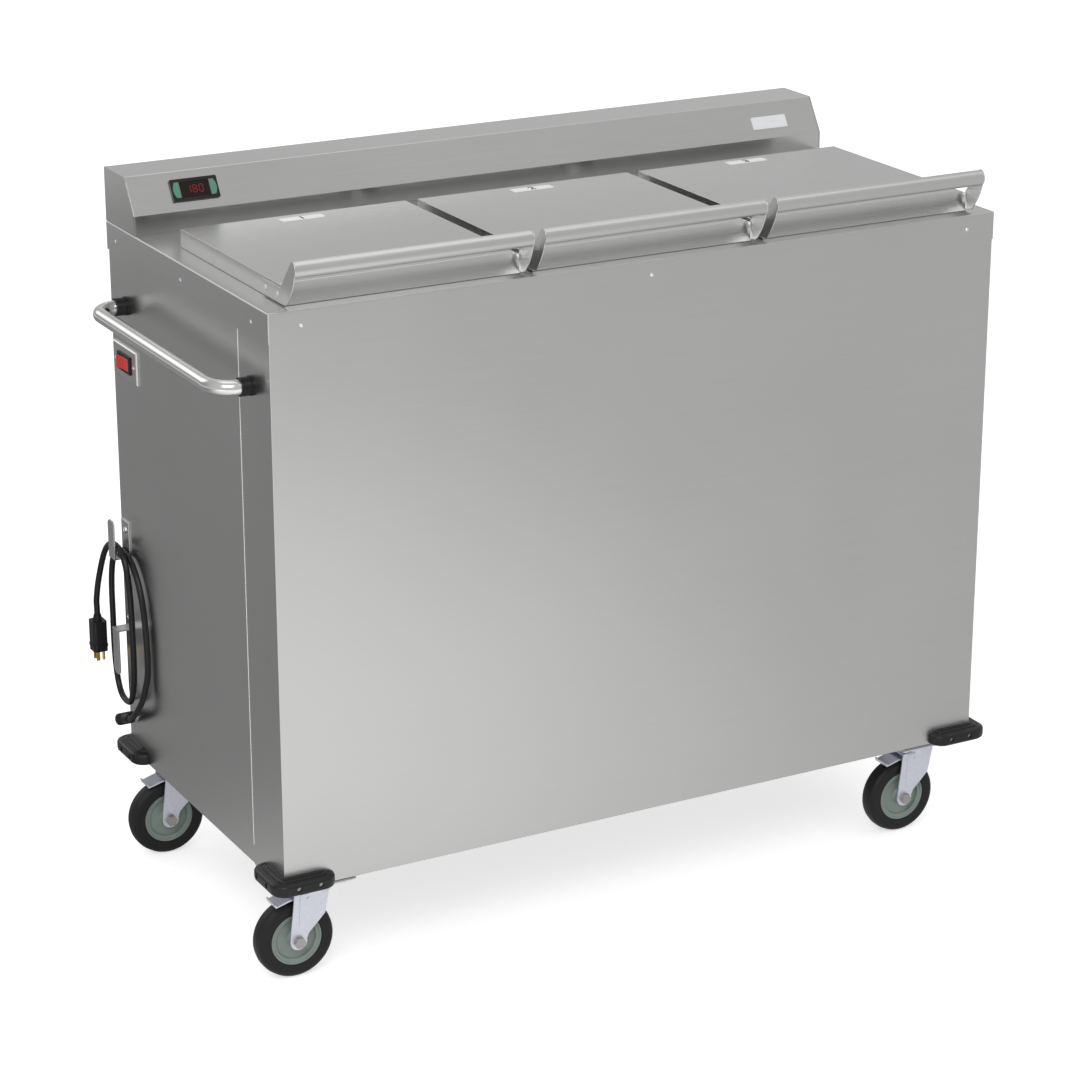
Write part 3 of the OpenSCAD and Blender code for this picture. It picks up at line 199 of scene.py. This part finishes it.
cord_diameter = 0.010
bracket_foot = Vector((-0.603, 0.288, 0.264))
elbow = Vector((-21, 2, -31))
boot_rise = math.radians(20)
boot_way = Vector((0, -math.cos(boot_rise), math.sin(boot_rise)))
plug_at = Vector((-29, 74, 130))
knots = [elbow + reach * boot_way for reach in (24, 32, 44)]
knots += [Vector(p) for p in ((-20, -56, -2), (-15, -74, 24), (-11, -82, 50))]
knots += [cord_turn(angle) for angle in range(198, -325, -18)]
knots += [Vector((-26, 71, 186))]
knots += [plug_at + Vector((0, 0, z)) for z in (26, 12, 0, -10)]
knots = [bracket_foot + knot / 1000 for knot in knots]

line = bpy.data.curves.new("power_cord_jacket", "CURVE")
line.dimensions = "3D"
line.resolution_u = 8
line.bevel_depth = cord_diameter / 2
line.bevel_resolution = 5
line.use_fill_caps = True
spline = line.splines.new("BEZIER")
spline.bezier_points.add(len(knots) - 3)
for i, point in enumerate(spline.bezier_points, 1):
    slope = (knots[i + 1] - knots[i - 1]) / 6
    point.co = knots[i]
    point.handle_left = knots[i] - slope
    point.handle_right = knots[i] + slope
line.materials.append(
    black_finish("cord jacket", tone=0.006, rough=0.34, grain=900, depth=0.00015, gloss=0.1)
)
cord = bpy.data.objects.new("power_cord_jacket", line)
scene.collection.objects.link(cord)
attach(cord, "cabinet")
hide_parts("power_cord")

# Plug and cord grip
# A moulded three-pin plug, and a grip with a tapered boot that turns the cord
# along the side.
nodes = frame["nodes"]
slot_of = {part["node"]: part["material_slot"] for part in frame["record"]["subparts"]}
body_of = {
    node: body
    for body, members in frame["record"]["behaviour"]["bodies"].items()
    for node in members
}


def placed(form, name, material, body, slot, *replaced):
    """Turns a bmesh into a piece that rides on a body."""
    mesh = bpy.data.meshes.new(name)
    form.to_mesh(mesh)
    form.free()
    mesh.materials.append(material)
    mesh.shade_smooth()
    mesh.set_sharp_from_angle(angle=math.radians(28))
    piece = bpy.data.objects.new(name, mesh)
    scene.collection.objects.link(piece)
    piece.modifiers.new("normals", "WEIGHTED_NORMAL").keep_sharp = True
    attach(piece, body)
    if replaced:
        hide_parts(*replaced)
    return piece


def rounded(node, material, fold, cut=0.0, bend=38):
    """Copies a CAD node with its outer edges rounded, and replaces it. fold is
    the radius between wide faces that meet at bend degrees or more, and cut
    the one at a sheet's cut edge."""
    form = bmesh.new()
    form.from_mesh(nodes[node].data)
    bmesh.ops.remove_doubles(form, verts=form.verts, dist=2e-6)
    flat = math.radians(0.4)
    bmesh.ops.dissolve_limit(form, angle_limit=flat, verts=form.verts, edges=form.edges)
    for radius, segments, wide in ((fold, 4, True), (cut, 1, False)):
        if not radius:
            continue
        room = 2.2 * radius
        chosen = []
        for edge in form.edges:
            if len(edge.link_faces) != 2 or not edge.is_convex:
                continue
            if edge.calc_face_angle(0) < math.radians(bend):
                continue
            length = edge.calc_length()
            width = min(face.calc_area() / length for face in edge.link_faces)
            if (width > room and length > room) or not wide:
                chosen.append(edge)
        bmesh.ops.bevel(
            form,
            geom=chosen,
            offset=radius,
            affect="EDGES",
            segments=segments,
            profile=0.5,
            material=-1,
            clamp_overlap=True,
        )
    return placed(form, node + "_formed", material, body_of[node], slot_of[node], node)


def dress(material, *names):
    """Gives CAD nodes whose shape stays a material."""
    for name in names:
        nodes[name].data.materials.clear()
        nodes[name].data.materials.append(material)


moulded = black_finish("moulded black", tone=0.007, rough=0.42, grain=1500, depth=0.0001)
plug = rounded("plug_body", moulded, fold=0.0015, cut=0.0003)
rounded("cord_grip", moulded, fold=0.0006)

material, at = new_finish("blade brass")
wear = noise(at, 180, detail=3)
brass = surface(
    material,
    base_color=blend_colours(wear, (0.72, 0.42, 0.04), (0.86, 0.56, 0.10)),
    metallic=1.0,
    roughness=0.18 + 0.2 * wear,
)
blades = rounded("plug_blades", brass, fold=0.0004, cut=0.0002)


# Cabinet panels
# Folded stainless sheets, brushed along their length. The front panel returns
# round both corners, and the side panels tuck under those returns.
def brushed(name, tone, rough, grain=1100, tint=(1.0, 1.0, 0.99), marks=0.05):
    """Brushed stainless: lines run along X, or along Y on faces turned to X."""
    stretch = 9
    material, at = new_finish(name)
    facing = at.node("ShaderNodeTexCoord", out="Normal")
    across = facing.node("ShaderNodeSeparateXYZ", {}, {"Vector": facing}, "X")
    to_side = across.math("GREATER_THAN", across.math("ABSOLUTE", across), 0.7)
    along_x = noise(at, (stretch, grain, grain), detail=3, rough=0.6)
    along_y = noise(at, (grain, stretch, grain), detail=3, rough=0.6)
    lines = along_x * (1 - to_side) + along_y * to_side
    cloud = noise(at, 3.5)
    low = [tone * 0.9 * c for c in tint]
    high = [tone * 1.1 * c for c in tint]
    return surface(
        material,
        base_color=blend_colours(0.6 * lines + 0.4 * cloud, low, high),
        metallic=1.0,
        roughness=rough + marks * (cloud - 0.5) + 0.10 * (lines - 0.5),
        normal=bump(lines, strength=0.25, depth=0.00006),
    )


steel = brushed("brushed steel", tone=0.56, rough=0.30)
for node in ("front_panel", "rear_panel", "left_side_panel", "right_side_panel"):
    rounded(node, steel, fold=0.0022)
dress(brushed("base pan steel", tone=0.45, rough=0.4), "base_pan")
dress(brushed("frame steel", tone=0.36, rough=0.48, grain=600), "chassis_frame")

# Deck and wells
# The deck is a folded cap with a skirt. Each well has a folded liner, whose
# rim lies on the deck, over a bare tubular heating element.
rounded("top_deck", steel, fold=0.0026, cut=0.0003)
dress(brushed("liner steel", tone=0.5, rough=0.34), "bay_liners")
dress(brushed("element sheath", tone=0.2, rough=0.5, grain=300), "heater_elements")

# Lids
# Shallow folded pans, each with a D-shaped bar between two riveted end plates,
# on a long knuckled hinge.
bays = (1, 2, 3)
lid_steel = brushed("lid steel", tone=0.56, rough=0.29)
bar_steel = brushed("bar steel", tone=0.60, rough=0.36)
for n in bays:
    rounded(f"lid_{n}", lid_steel, fold=0.0014, cut=0.0003)
    rounded(f"lid_handle_{n}", bar_steel, fold=0.0008, cut=0.0003)
dress(brushed("hinge steel", tone=0.52, rough=0.33), "hinge_leaves", "hinge_pins")

# Console and controller
# A folded housing with a sloping front, closed by welded end caps. The
# temperature controller has a red display between two green keys.
console_steel = brushed("console steel", tone=0.56, rough=0.2)
rounded("console_housing", console_steel, fold=0.0016, bend=31)
rounded("console_end_caps", console_steel, fold=0.001, bend=31)
case_black = black_finish("controller black", tone=0.01, rough=0.3, grain=2500, depth=0.00005)
rounded("controller_body", case_black, fold=0.0006)

material, at = new_finish("display window")
dust = noise(at, 400)
window = surface(
    material,
    base_color=blend_colours(dust, (0.012, 0.004, 0.004), (0.02, 0.006, 0.006)),
    roughness=0.1 + 0.06 * dust,
    specular_ior_level=0.25,
)
dress(window, "controller_lens")

material, at = new_finish("key green")
wear = noise(at, 300)
green = surface(
    material,
    base_color=blend_colours(wear, (0.085, 0.235, 0.165), (0.11, 0.28, 0.20)),
    roughness=0.34 + 0.1 * wear,
)
dress(green, "controller_key_left", "controller_key_right")

# Mains switch
# A bevelled steel plate with a red rocker in a black frame, screwed to the left
# side below the push handle.
rounded("switch_plate", brushed("switch plate steel", tone=0.6, rough=0.26), fold=0.0005)
rounded("switch_body", moulded, fold=0.0006)
material, at = new_finish("rocker red")
wear = noise(at, 260)
red = surface(
    material,
    base_color=blend_colours(wear, (0.58, 0.012, 0.008), (0.70, 0.02, 0.014)),
    roughness=0.22 + 0.1 * wear,
    coat_weight=0.4,
    coat_roughness=0.1,
)
rounded("rocker", red, fold=0.0006)

# Push handle
# A polished tube with two bends, seated in two black bushings. The guide rods
# of the wells have the same polish.
polished = brushed("polished steel", tone=0.72, rough=0.17, grain=700, marks=0.03)
dress(polished, "push_handle", "guide_rods")
dress(moulded, "handle_bushings")

# Cord bracket
# A bent strip with two tongues that hold the cord's turns, screwed flat to the
# left side.
rounded("cord_bracket", brushed("bracket steel", tone=0.55, rough=0.3), fold=0.0005)


# Casters
# Zinc-plated pressed forks with brake pedals, on plates under the frame.
# Grey-green plastic hubs with black rubber tyres turn on plain steel bolts.
def zinc_finish(name, tone):
    """Bright zinc plate with its faint spangle."""
    material, at = new_finish(name)
    spangle = at.node("ShaderNodeTexVoronoi", {}, {"Vector": at, "Scale": 420.0}, "Color")
    fleck = spangle.node("ShaderNodeSeparateColor", {}, {"Color": spangle}, "Red")
    cloud = noise(at, 60, detail=3)
    shade = 0.5 * fleck + 0.5 * cloud
    low = (tone * 0.9, tone * 0.92, tone * 1.02)
    high = (tone * 1.06, tone * 1.08, tone * 1.2)
    return surface(
        material,
        base_color=blend_colours(shade, low, high),
        metallic=0.75,
        roughness=0.34 + 0.14 * shade,
        normal=bump(cloud, strength=0.2, depth=0.0001),
    )


def mark_bolt(mesh):
    """Gives the axle bolt, the solid with the foremost vertex, the second material."""
    form = bmesh.new()
    form.from_mesh(mesh)
    reached = [min(form.verts, key=lambda vert: vert.co.y)]
    seen = set(reached)
    for vert in reached:
        for face in vert.link_faces:
            face.material_index = 1
            fresh = [corner for corner in face.verts if corner not in seen]
            seen.update(fresh)
            reached += fresh
    form.to_mesh(mesh)
    form.free()


zinc = zinc_finish("zinc plate", tone=0.78)
tyre_rubber = black_finish("tyre rubber", tone=0.010, rough=0.5, grain=1200, depth=0.00015)
material, at = new_finish("hub plastic")
flow = noise(at, 70, detail=3)
hub_plastic = surface(
    material,
    base_color=blend_colours(flow, (0.225, 0.28, 0.25), (0.28, 0.34, 0.31)),
    roughness=0.38 + 0.14 * flow,
    normal=bump(noise(at, 900), strength=0.2, depth=0.00005),
)
bolt_steel = brushed("bolt steel", tone=0.42, rough=0.26, grain=600, tint=(1.0, 0.97, 0.92))
for corner in ("front_left", "front_right", "rear_left", "rear_right"):
    fork = rounded(f"fork_{corner}", zinc, fold=0.001, cut=0.0003)
    fork.data.materials.append(bolt_steel)
    mark_bolt(fork.data)
    rounded(f"brake_{corner}", zinc, fold=0.0008)
    dress(tyre_rubber, f"tyre_{corner}")
    dress(hub_plastic, f"hub_{corner}")
dress(zinc, "caster_plates", "cord_locknut")

# Corner bumpers
# Extruded black rubber with two grooves, bent round each lower corner of the
# cabinet and held by steel screws.
# The bumper screws' steel is dark, tone 0.3: painted shade of the recesses they sit in.
dress(brushed("screw steel painted shade", tone=0.3, rough=0.34, grain=500), "bumper_screws")
extruded = black_finish(
    "bumper rubber", tone=0.008, rough=0.36, grain=1000, depth=0.0001, gloss=0.1
)
rounded("corner_bumpers", extruded, fold=0.0015)

# Rivets, screws and seams
# Blind rivets hold the deck's skirt and the straps of the lid handles. Screws
# hold the console's back, the switch plate and the cord bracket.
def lathe(profile, steps=20):
    """Turns a (radius, height) profile round Z into a closed mesh."""
    form = bmesh.new()
    line = [form.verts.new((r, 0, h)) for r, h in profile]
    edges = [form.edges.new(pair) for pair in zip(line, line[1:])]
    bmesh.ops.spin(
        form,
        geom=line + edges,
        cent=(0, 0, 0),
        axis=(0, 0, 1),
        angle=2 * math.pi,
        steps=steps,
        use_merge=True,
    )
    bmesh.ops.remove_doubles(form, verts=form.verts, dist=1e-6)
    bmesh.ops.recalc_face_normals(form, faces=form.faces)
    mesh = bpy.data.meshes.new("pattern")
    form.to_mesh(mesh)
    form.free()
    return mesh


# Every head is sunk a little into what it holds.
sunk = -0.0004


def dome(r, h, steps):
    """A rivet's low domed head."""
    crown = [(0, h), (0.4 * r, 0.94 * h), (0.75 * r, 0.66 * h), (r, 0.05 * h)]
    return lathe(crown + [(r, sunk), (0, sunk)], steps)


def screw_head(r, h):
    """A screw head with a round-cornered rim and a driver's recess."""
    recess = [(0, 0.35 * h), (0.3 * r, 0.4 * h), (0.38 * r, h)]
    rim = [(0.72 * r, 0.95 * h), (0.93 * r, 0.7 * h), (r, 0.3 * h)]
    return lathe(recess + rim + [(r, sunk), (0, sunk)])


def copies(pattern, places):
    """A bmesh with one copy of a mesh at each (point, outward way)."""
    form = bmesh.new()
    for at, way in places:
        first = len(form.verts)
        form.from_mesh(pattern)
        form.verts.ensure_lookup_table()
        turn = Vector(way).to_track_quat("Z", "Y").to_matrix().to_4x4()
        place = Matrix.Translation(at) @ turn
        bmesh.ops.transform(form, matrix=place, verts=form.verts[first:])
    return form


rivet_steel = brushed("rivet steel", tone=0.9, rough=0.3, grain=600)
low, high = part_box("top_deck")
middle = (low.x + high.x) / 2
rivets = [
    ((x, y, 1.040), (side, 0, 0))
    for x, side in ((low.x, -1), (high.x, 1))
    for y in (0.270, 0.010, -0.249)
]
rivets += [
    ((middle + x, y, 1.0425), (0, side, 0))
    for y, side in ((low.y, -1), (high.y, 1))
    for x in (-0.575, 0, 0.575)
]
skirt_rivet = dome(0.0030, 0.0014, steps=16)
placed(copies(skirt_rivet, rivets), "skirt_rivets", rivet_steel, "cabinet", "stainless")

low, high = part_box("console_housing")
head_r = 0.0042
head_z = high.z - head_r - 0.0001
screws = [((middle + x, high.y, head_z), (0, 1, 0)) for x in (-0.6205, -0.2068, 0.2068, 0.6205)]
console_screw = screw_head(head_r, 0.0046)
placed(copies(console_screw, screws), "console_screws", rivet_steel, "cabinet", "polished_steel")

low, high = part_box("switch_plate")
plate_y, plate_z = (low.y + high.y) / 2, (low.z + high.z) / 2
screws = [((low.x, plate_y + y, plate_z), (-1, 0, 0)) for y in (0.0365, -0.0365)]
switch_screw = screw_head(0.0032, 0.0014)
placed(copies(switch_screw, screws), "switch_screws", polished, "cabinet", "polished_steel")

strip_face, strip_y = -0.6055, 0.2865
screws = [((strip_face, strip_y, z), (-1, 0, 0)) for z in (0.2900, 0.4100, 0.5600)]
bracket_screw = screw_head(0.0048, 0.0024)
placed(copies(bracket_screw, screws), "bracket_screws", rivet_steel, "cabinet", "polished_steel")

strap_rivet = dome(0.0042, 0.0018, steps=20)
for n in bays:
    low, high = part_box(f"lid_handle_{n}")
    heads = [
        ((x, y, 1.080), (side, 0, 0))
        for x, side in ((low.x, -1), (high.x, 1))
        for y in (-0.225, -0.266)
    ]
    placed(copies(strap_rivet, heads), f"lid_rivets_{n}", rivet_steel, f"lid_{n}_body", "stainless")

# The edge of each of the front panel's returns is closed with a slim bead of weld, coloured near
# white and matt as a painted highlight along that edge.
bead_end, bead_r = 0.4085, 0.0016
half_bead = [(0, bead_end), (0.0011, bead_end - 0.0005), (bead_r, bead_end - 0.0015)]
bead = lathe(half_bead + [(r, -h) for r, h in reversed(half_bead)], steps=12)
# Near white and not metallic: a painted highlight along the returns' edges, with a random ripple in
# it.
material, at = new_finish("weld bead painted highlight")
ripple = noise(at, (300, 300, 900))
bead_painted_highlight = surface(
    material,
    base_color=blend_colours(ripple, (0.84, 0.84, 0.83), (0.94, 0.94, 0.93)),
    roughness=0.4 + 0.1 * ripple,
    normal=bump(ripple, strength=0.3, depth=0.0001),
)
beads = [((middle + x, -0.1962, 0.6085), (0, 0, 1)) for x in (-0.6244, 0.6244)]
placed(copies(bead, beads), "return_beads", bead_painted_highlight, "cabinet", "stainless")


# Plates and figures
# Thin plates fixed flat: a bare white one on the console's slope, and one with a
# plain number on each lid. The display shows three dim red figures.
def plate(width, height, thick, corner):
    """A thin plate with round corners, lying on z = 0."""
    form = bmesh.new()
    bmesh.ops.create_grid(form, x_segments=1, y_segments=1, size=0.5)
    bmesh.ops.scale(form, vec=(width, height, 1), verts=form.verts)
    bmesh.ops.bevel(
        form,
        geom=form.verts[:],
        offset=corner,
        affect="VERTICES",
        segments=5,
        profile=0.5,
        material=-1,
    )
    made = bmesh.ops.extrude_face_region(form, geom=form.faces[:])["geom"]
    top = [vert for vert in made if isinstance(vert, bmesh.types.BMVert)]
    bmesh.ops.translate(form, vec=(0, 0, thick), verts=top)
    bmesh.ops.recalc_face_normals(form, faces=form.faces)
    rim = [edge for edge in form.edges if all(vert in set(top) for vert in edge.verts)]
    bmesh.ops.bevel(
        form,
        geom=rim,
        offset=0.3 * thick,
        affect="EDGES",
        segments=2,
        profile=0.5,
        material=-1,
    )
    return form


def as_mesh(data):
    """Turns a text or a curve into a mesh."""
    pattern = bpy.data.objects.new("pattern", data)
    scene.collection.objects.link(pattern)
    bpy.context.view_layer.update()
    shown = pattern.evaluated_get(bpy.context.evaluated_depsgraph_get())
    mesh = bpy.data.meshes.new_from_object(shown)
    bpy.data.objects.remove(pattern)
    return mesh


def numeral(n, height):
    """A bmesh of one printed figure, centred on the origin."""
    text = bpy.data.curves.new("pattern", "FONT")
    text.body = str(n)
    text.size = height
    text.offset = 0.0004
    text.extrude = 0.0002
    text.align_x, text.align_y = "CENTER", "CENTER"
    form = bmesh.new()
    form.from_mesh(as_mesh(text))
    return form


on_slope = Matrix.Rotation(math.radians(57.9), 4, "X")
badge = plate(width=0.068, height=0.022, thick=0.0008, corner=0.002)
badge_at = Matrix.Translation((0.553, 0.2072, 1.1200)) @ on_slope
bmesh.ops.transform(badge, matrix=badge_at, verts=badge.verts)
material, at = new_finish("badge enamel")
mottle = noise(at, 240, detail=3)
enamel = surface(
    material,
    base_color=blend_colours(mottle, (0.80, 0.81, 0.83), (0.87, 0.88, 0.89)),
    roughness=0.25 + 0.15 * mottle,
)
placed(badge, "badge_plate", enamel, "cabinet", "stainless")

material, at = new_finish("label foil")
mottle = noise(at, 300, detail=3)
foil = surface(
    material,
    base_color=blend_colours(mottle, (0.84, 0.84, 0.84), (0.95, 0.95, 0.95)),
    metallic=0.25,
    roughness=0.3 + 0.1 * mottle,
)
material, at = new_finish("figure black")
worn = noise(at, 900)
figure_black = surface(
    material,
    base_color=blend_colours(worn, (0.03, 0.03, 0.032), (0.07, 0.07, 0.072)),
    roughness=0.5 + 0.1 * worn,
)
label_y, label_thick = 0.068, 0.0008
for n in bays:
    low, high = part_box(f"lid_{n}")
    bay = (low.x + high.x) / 2
    label = plate(width=0.072, height=0.020, thick=label_thick, corner=0.004)
    bmesh.ops.translate(label, vec=(bay, label_y, high.z), verts=label.verts)
    placed(label, f"lid_label_{n}", foil, f"lid_{n}_body", "stainless")
    figure = numeral(n, height=0.021)
    bmesh.ops.translate(figure, vec=(bay, label_y, high.z + label_thick), verts=figure.verts)
    placed(figure, f"lid_figure_{n}", figure_black, f"lid_{n}_body", "stainless")

# Seven strokes to a figure, each with x in half-widths of the figure, y in
# quarters of its height, and whether it stands upright.
strokes = ((0, 2, 0), (1, 1, 1), (1, -1, 1), (0, -2, 0), (-1, -1, 1), (-1, 1, 1), (0, 0, 0))
lit = {"1": (1, 2), "8": range(7), "0": range(6)}
figure_pitch, half_width, quarter_height = 0.0105, 0.0031, 0.0030
window_face = 0.00335
stroke_size = Matrix.Diagonal((0.0027, 0.0007, 0.0001, 1))
on_display = Matrix.Translation((-0.496, 0.20975, 1.124)) @ on_slope
form = bmesh.new()
for place, figure in enumerate("180", -1):
    for stroke in lit[figure]:
        x, y, upright = strokes[stroke]
        turn = Matrix.Rotation(math.pi / 2 * upright, 4, "Z")
        across = place * figure_pitch + x * half_width
        spot = Matrix.Translation((across, y * quarter_height, window_face))
        bmesh.ops.create_cone(
            form,
            cap_ends=True,
            segments=6,
            radius1=1,
            radius2=0.9,
            depth=1,
            matrix=on_display @ spot @ turn @ stroke_size,
        )
material, at = new_finish("figure red")
flicker = noise(at, 700, detail=1)
glow_red = surface(
    material,
    base_color=(0.25, 0.01, 0.008, 1),
    emission_color=blend_colours(flicker, (0.30, 0.010, 0.008), (0.42, 0.014, 0.012)),
    emission_strength=0.16,
    roughness=0.4,
)
placed(form, "display_figures", glow_red, "cabinet", "display")

# Platforms and lift springs
# Each platform hangs from four long close-wound extension springs, hooked
# under the rods' top brackets and to the platform's lower bar.
spring_steel = brushed("spring steel", tone=0.4, rough=0.3, grain=500)
turns, per_turn = 76, 12
wire_r, coil_r = 0.0009, 0.0059
end_room = 0.0012
rod_y, spring_x, spring_y = -0.0945, 0.157, 0.040
for n in bays:
    name = f"lift_springs_{n}_coils"
    low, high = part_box(f"lift_springs_{n}")
    bay = (low.x + high.x) / 2
    helix = bpy.data.curves.new(name, "CURVE")
    helix.dimensions = "3D"
    helix.bevel_depth = wire_r
    helix.bevel_resolution = 1
    helix.use_fill_caps = True
    rise = (high.z - low.z - 2 * end_room) / (turns * per_turn)
    for side, end in ((-1, -1), (-1, 1), (1, -1), (1, 1)):
        foot = Vector((bay + side * spring_x, rod_y + end * spring_y, low.z + end_room))
        coil = helix.splines.new("POLY")
        coil.points.add(turns * per_turn)
        for i, point in enumerate(coil.points):
            turn = 2 * math.pi * i / per_turn
            arm = Vector((math.cos(turn) * coil_r, math.sin(turn) * coil_r, i * rise))
            point.co = (*(foot + arm), 1)
    mesh = as_mesh(helix)
    bpy.data.curves.remove(helix)
    mesh.name = name
    mesh.materials.append(spring_steel)
    mesh.shade_smooth()
    coils = bpy.data.objects.new(name, mesh)
    scene.collection.objects.link(coils)
    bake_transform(coils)
    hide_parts(f"lift_springs_{n}")
    platform_steel = brushed(f"platform steel {n}", tone=0.5, rough=0.33)
    rounded(f"platform_{n}", platform_steel, fold=0.001)


# Floor and light
# A white floor that keeps the cart's shadow, two soft lamps, and a pale room.
# What steel mirrors of floor and room has brighter and darker pools.
def falloff(at, centre, near, far, inner, outer):
    """A round pool that goes from one level to another."""
    distance = {"operation": "DISTANCE"}
    away = at.node("ShaderNodeVectorMath", distance, {0: at, 1: centre}, "Value")
    levels = {"From Min": near, "From Max": far, "To Min": inner, "To Max": outer}
    smooth = {"interpolation_type": "SMOOTHSTEP"}
    return away.node("ShaderNodeMapRange", smooth, {"Value": away, **levels})


ground = bmesh.new()
bmesh.ops.create_grid(ground, x_segments=1, y_segments=1, size=25)
mesh = bpy.data.meshes.new("floor")
ground.to_mesh(mesh)
ground.free()
floor = bpy.data.objects.new("floor", mesh)
scene.collection.objects.link(floor)
material, at = new_finish("floor")
to_camera = at.node("ShaderNodeLightPath", out="Is Camera Ray")
to_gloss = at.node("ShaderNodeLightPath", out="Is Glossy Ray")
# What steel mirrors of the floor glows with painted light: a bright pool at the front left, a
# painted shade pool behind the left side, and a bright patch further left that the left front edges
# mirror as highlights.
pool = falloff(at, centre=(-1.3, -2.0, 0), near=1.2, far=2.6, inner=1.22, outer=0.68)
shade = falloff(at, centre=(-1.9, 2.2, 0), near=1.9, far=3.6, inner=0.38, outer=0.0)
rim = falloff(at, centre=(-3.1, -1.7, 0), near=0.3, far=1.3, inner=1.3, outer=0.0)
matt = at.node("ShaderNodeBsdfDiffuse", {}, {"Color": (0.8, 0.8, 0.8, 1)})
glow = at.node("ShaderNodeEmission", {}, {"Strength": 0.6 * to_camera})
white = at.node("ShaderNodeAddShader", {}, {0: matt, 1: glow})
mirrored = at.node("ShaderNodeEmission", {}, {"Strength": pool - shade + rim})
both = at.node("ShaderNodeMixShader", {}, {0: to_gloss, 1: white, 2: mirrored})
both.node("ShaderNodeOutputMaterial", {}, {"Surface": both})
mesh.materials.append(material)

world = bpy.data.worlds.new("studio")
scene.world = world
world.use_nodes = True
world.node_tree.nodes.clear()
start = Socket(world.node_tree)
to_camera = start.node("ShaderNodeLightPath", out="Is Camera Ray")
way = start.node("ShaderNodeTexCoord", out="Generated")
level = falloff(way, centre=(-0.6, 0.8, 0.1), near=0.2, far=1.2, inner=0.34, outer=0.64)
level = level + falloff(way, centre=(-0.36, 0.80, 0.45), near=0.08, far=0.4, inner=1.5, outer=0.0)
level = level + falloff(way, centre=(0.45, -0.28, 0.85), near=0.08, far=0.3, inner=0.9, outer=0.0)
strength = level * (1 - to_camera) + to_camera
sky = start.node("ShaderNodeBackground", {}, {"Color": (1, 1, 1, 1), "Strength": strength})
sky.node("ShaderNodeOutputWorld", {}, {"Surface": sky})


def softbox(name, at, towards, size, power):
    """A large soft lamp that faces a point."""
    lamp = bpy.data.lights.new(name, "AREA")
    lamp.shape = "RECTANGLE"
    lamp.size, lamp.size_y = size
    lamp.energy = power
    made = bpy.data.objects.new(name, lamp)
    made.location = at
    way = Vector(towards) - Vector(at)
    made.rotation_euler = way.to_track_quat("-Z", "Y").to_euler()
    scene.collection.objects.link(made)


softbox("lamp_front", at=(-2.6, -3.2, 3.6), towards=(0, 0, 0.4), size=(2.4, 2.0), power=70)
softbox("lamp_top", at=(0.2, 0.4, 4.4), towards=(0, 0, 0.8), size=(3.0, 2.6), power=14)

scene.view_settings.view_transform = "Standard"
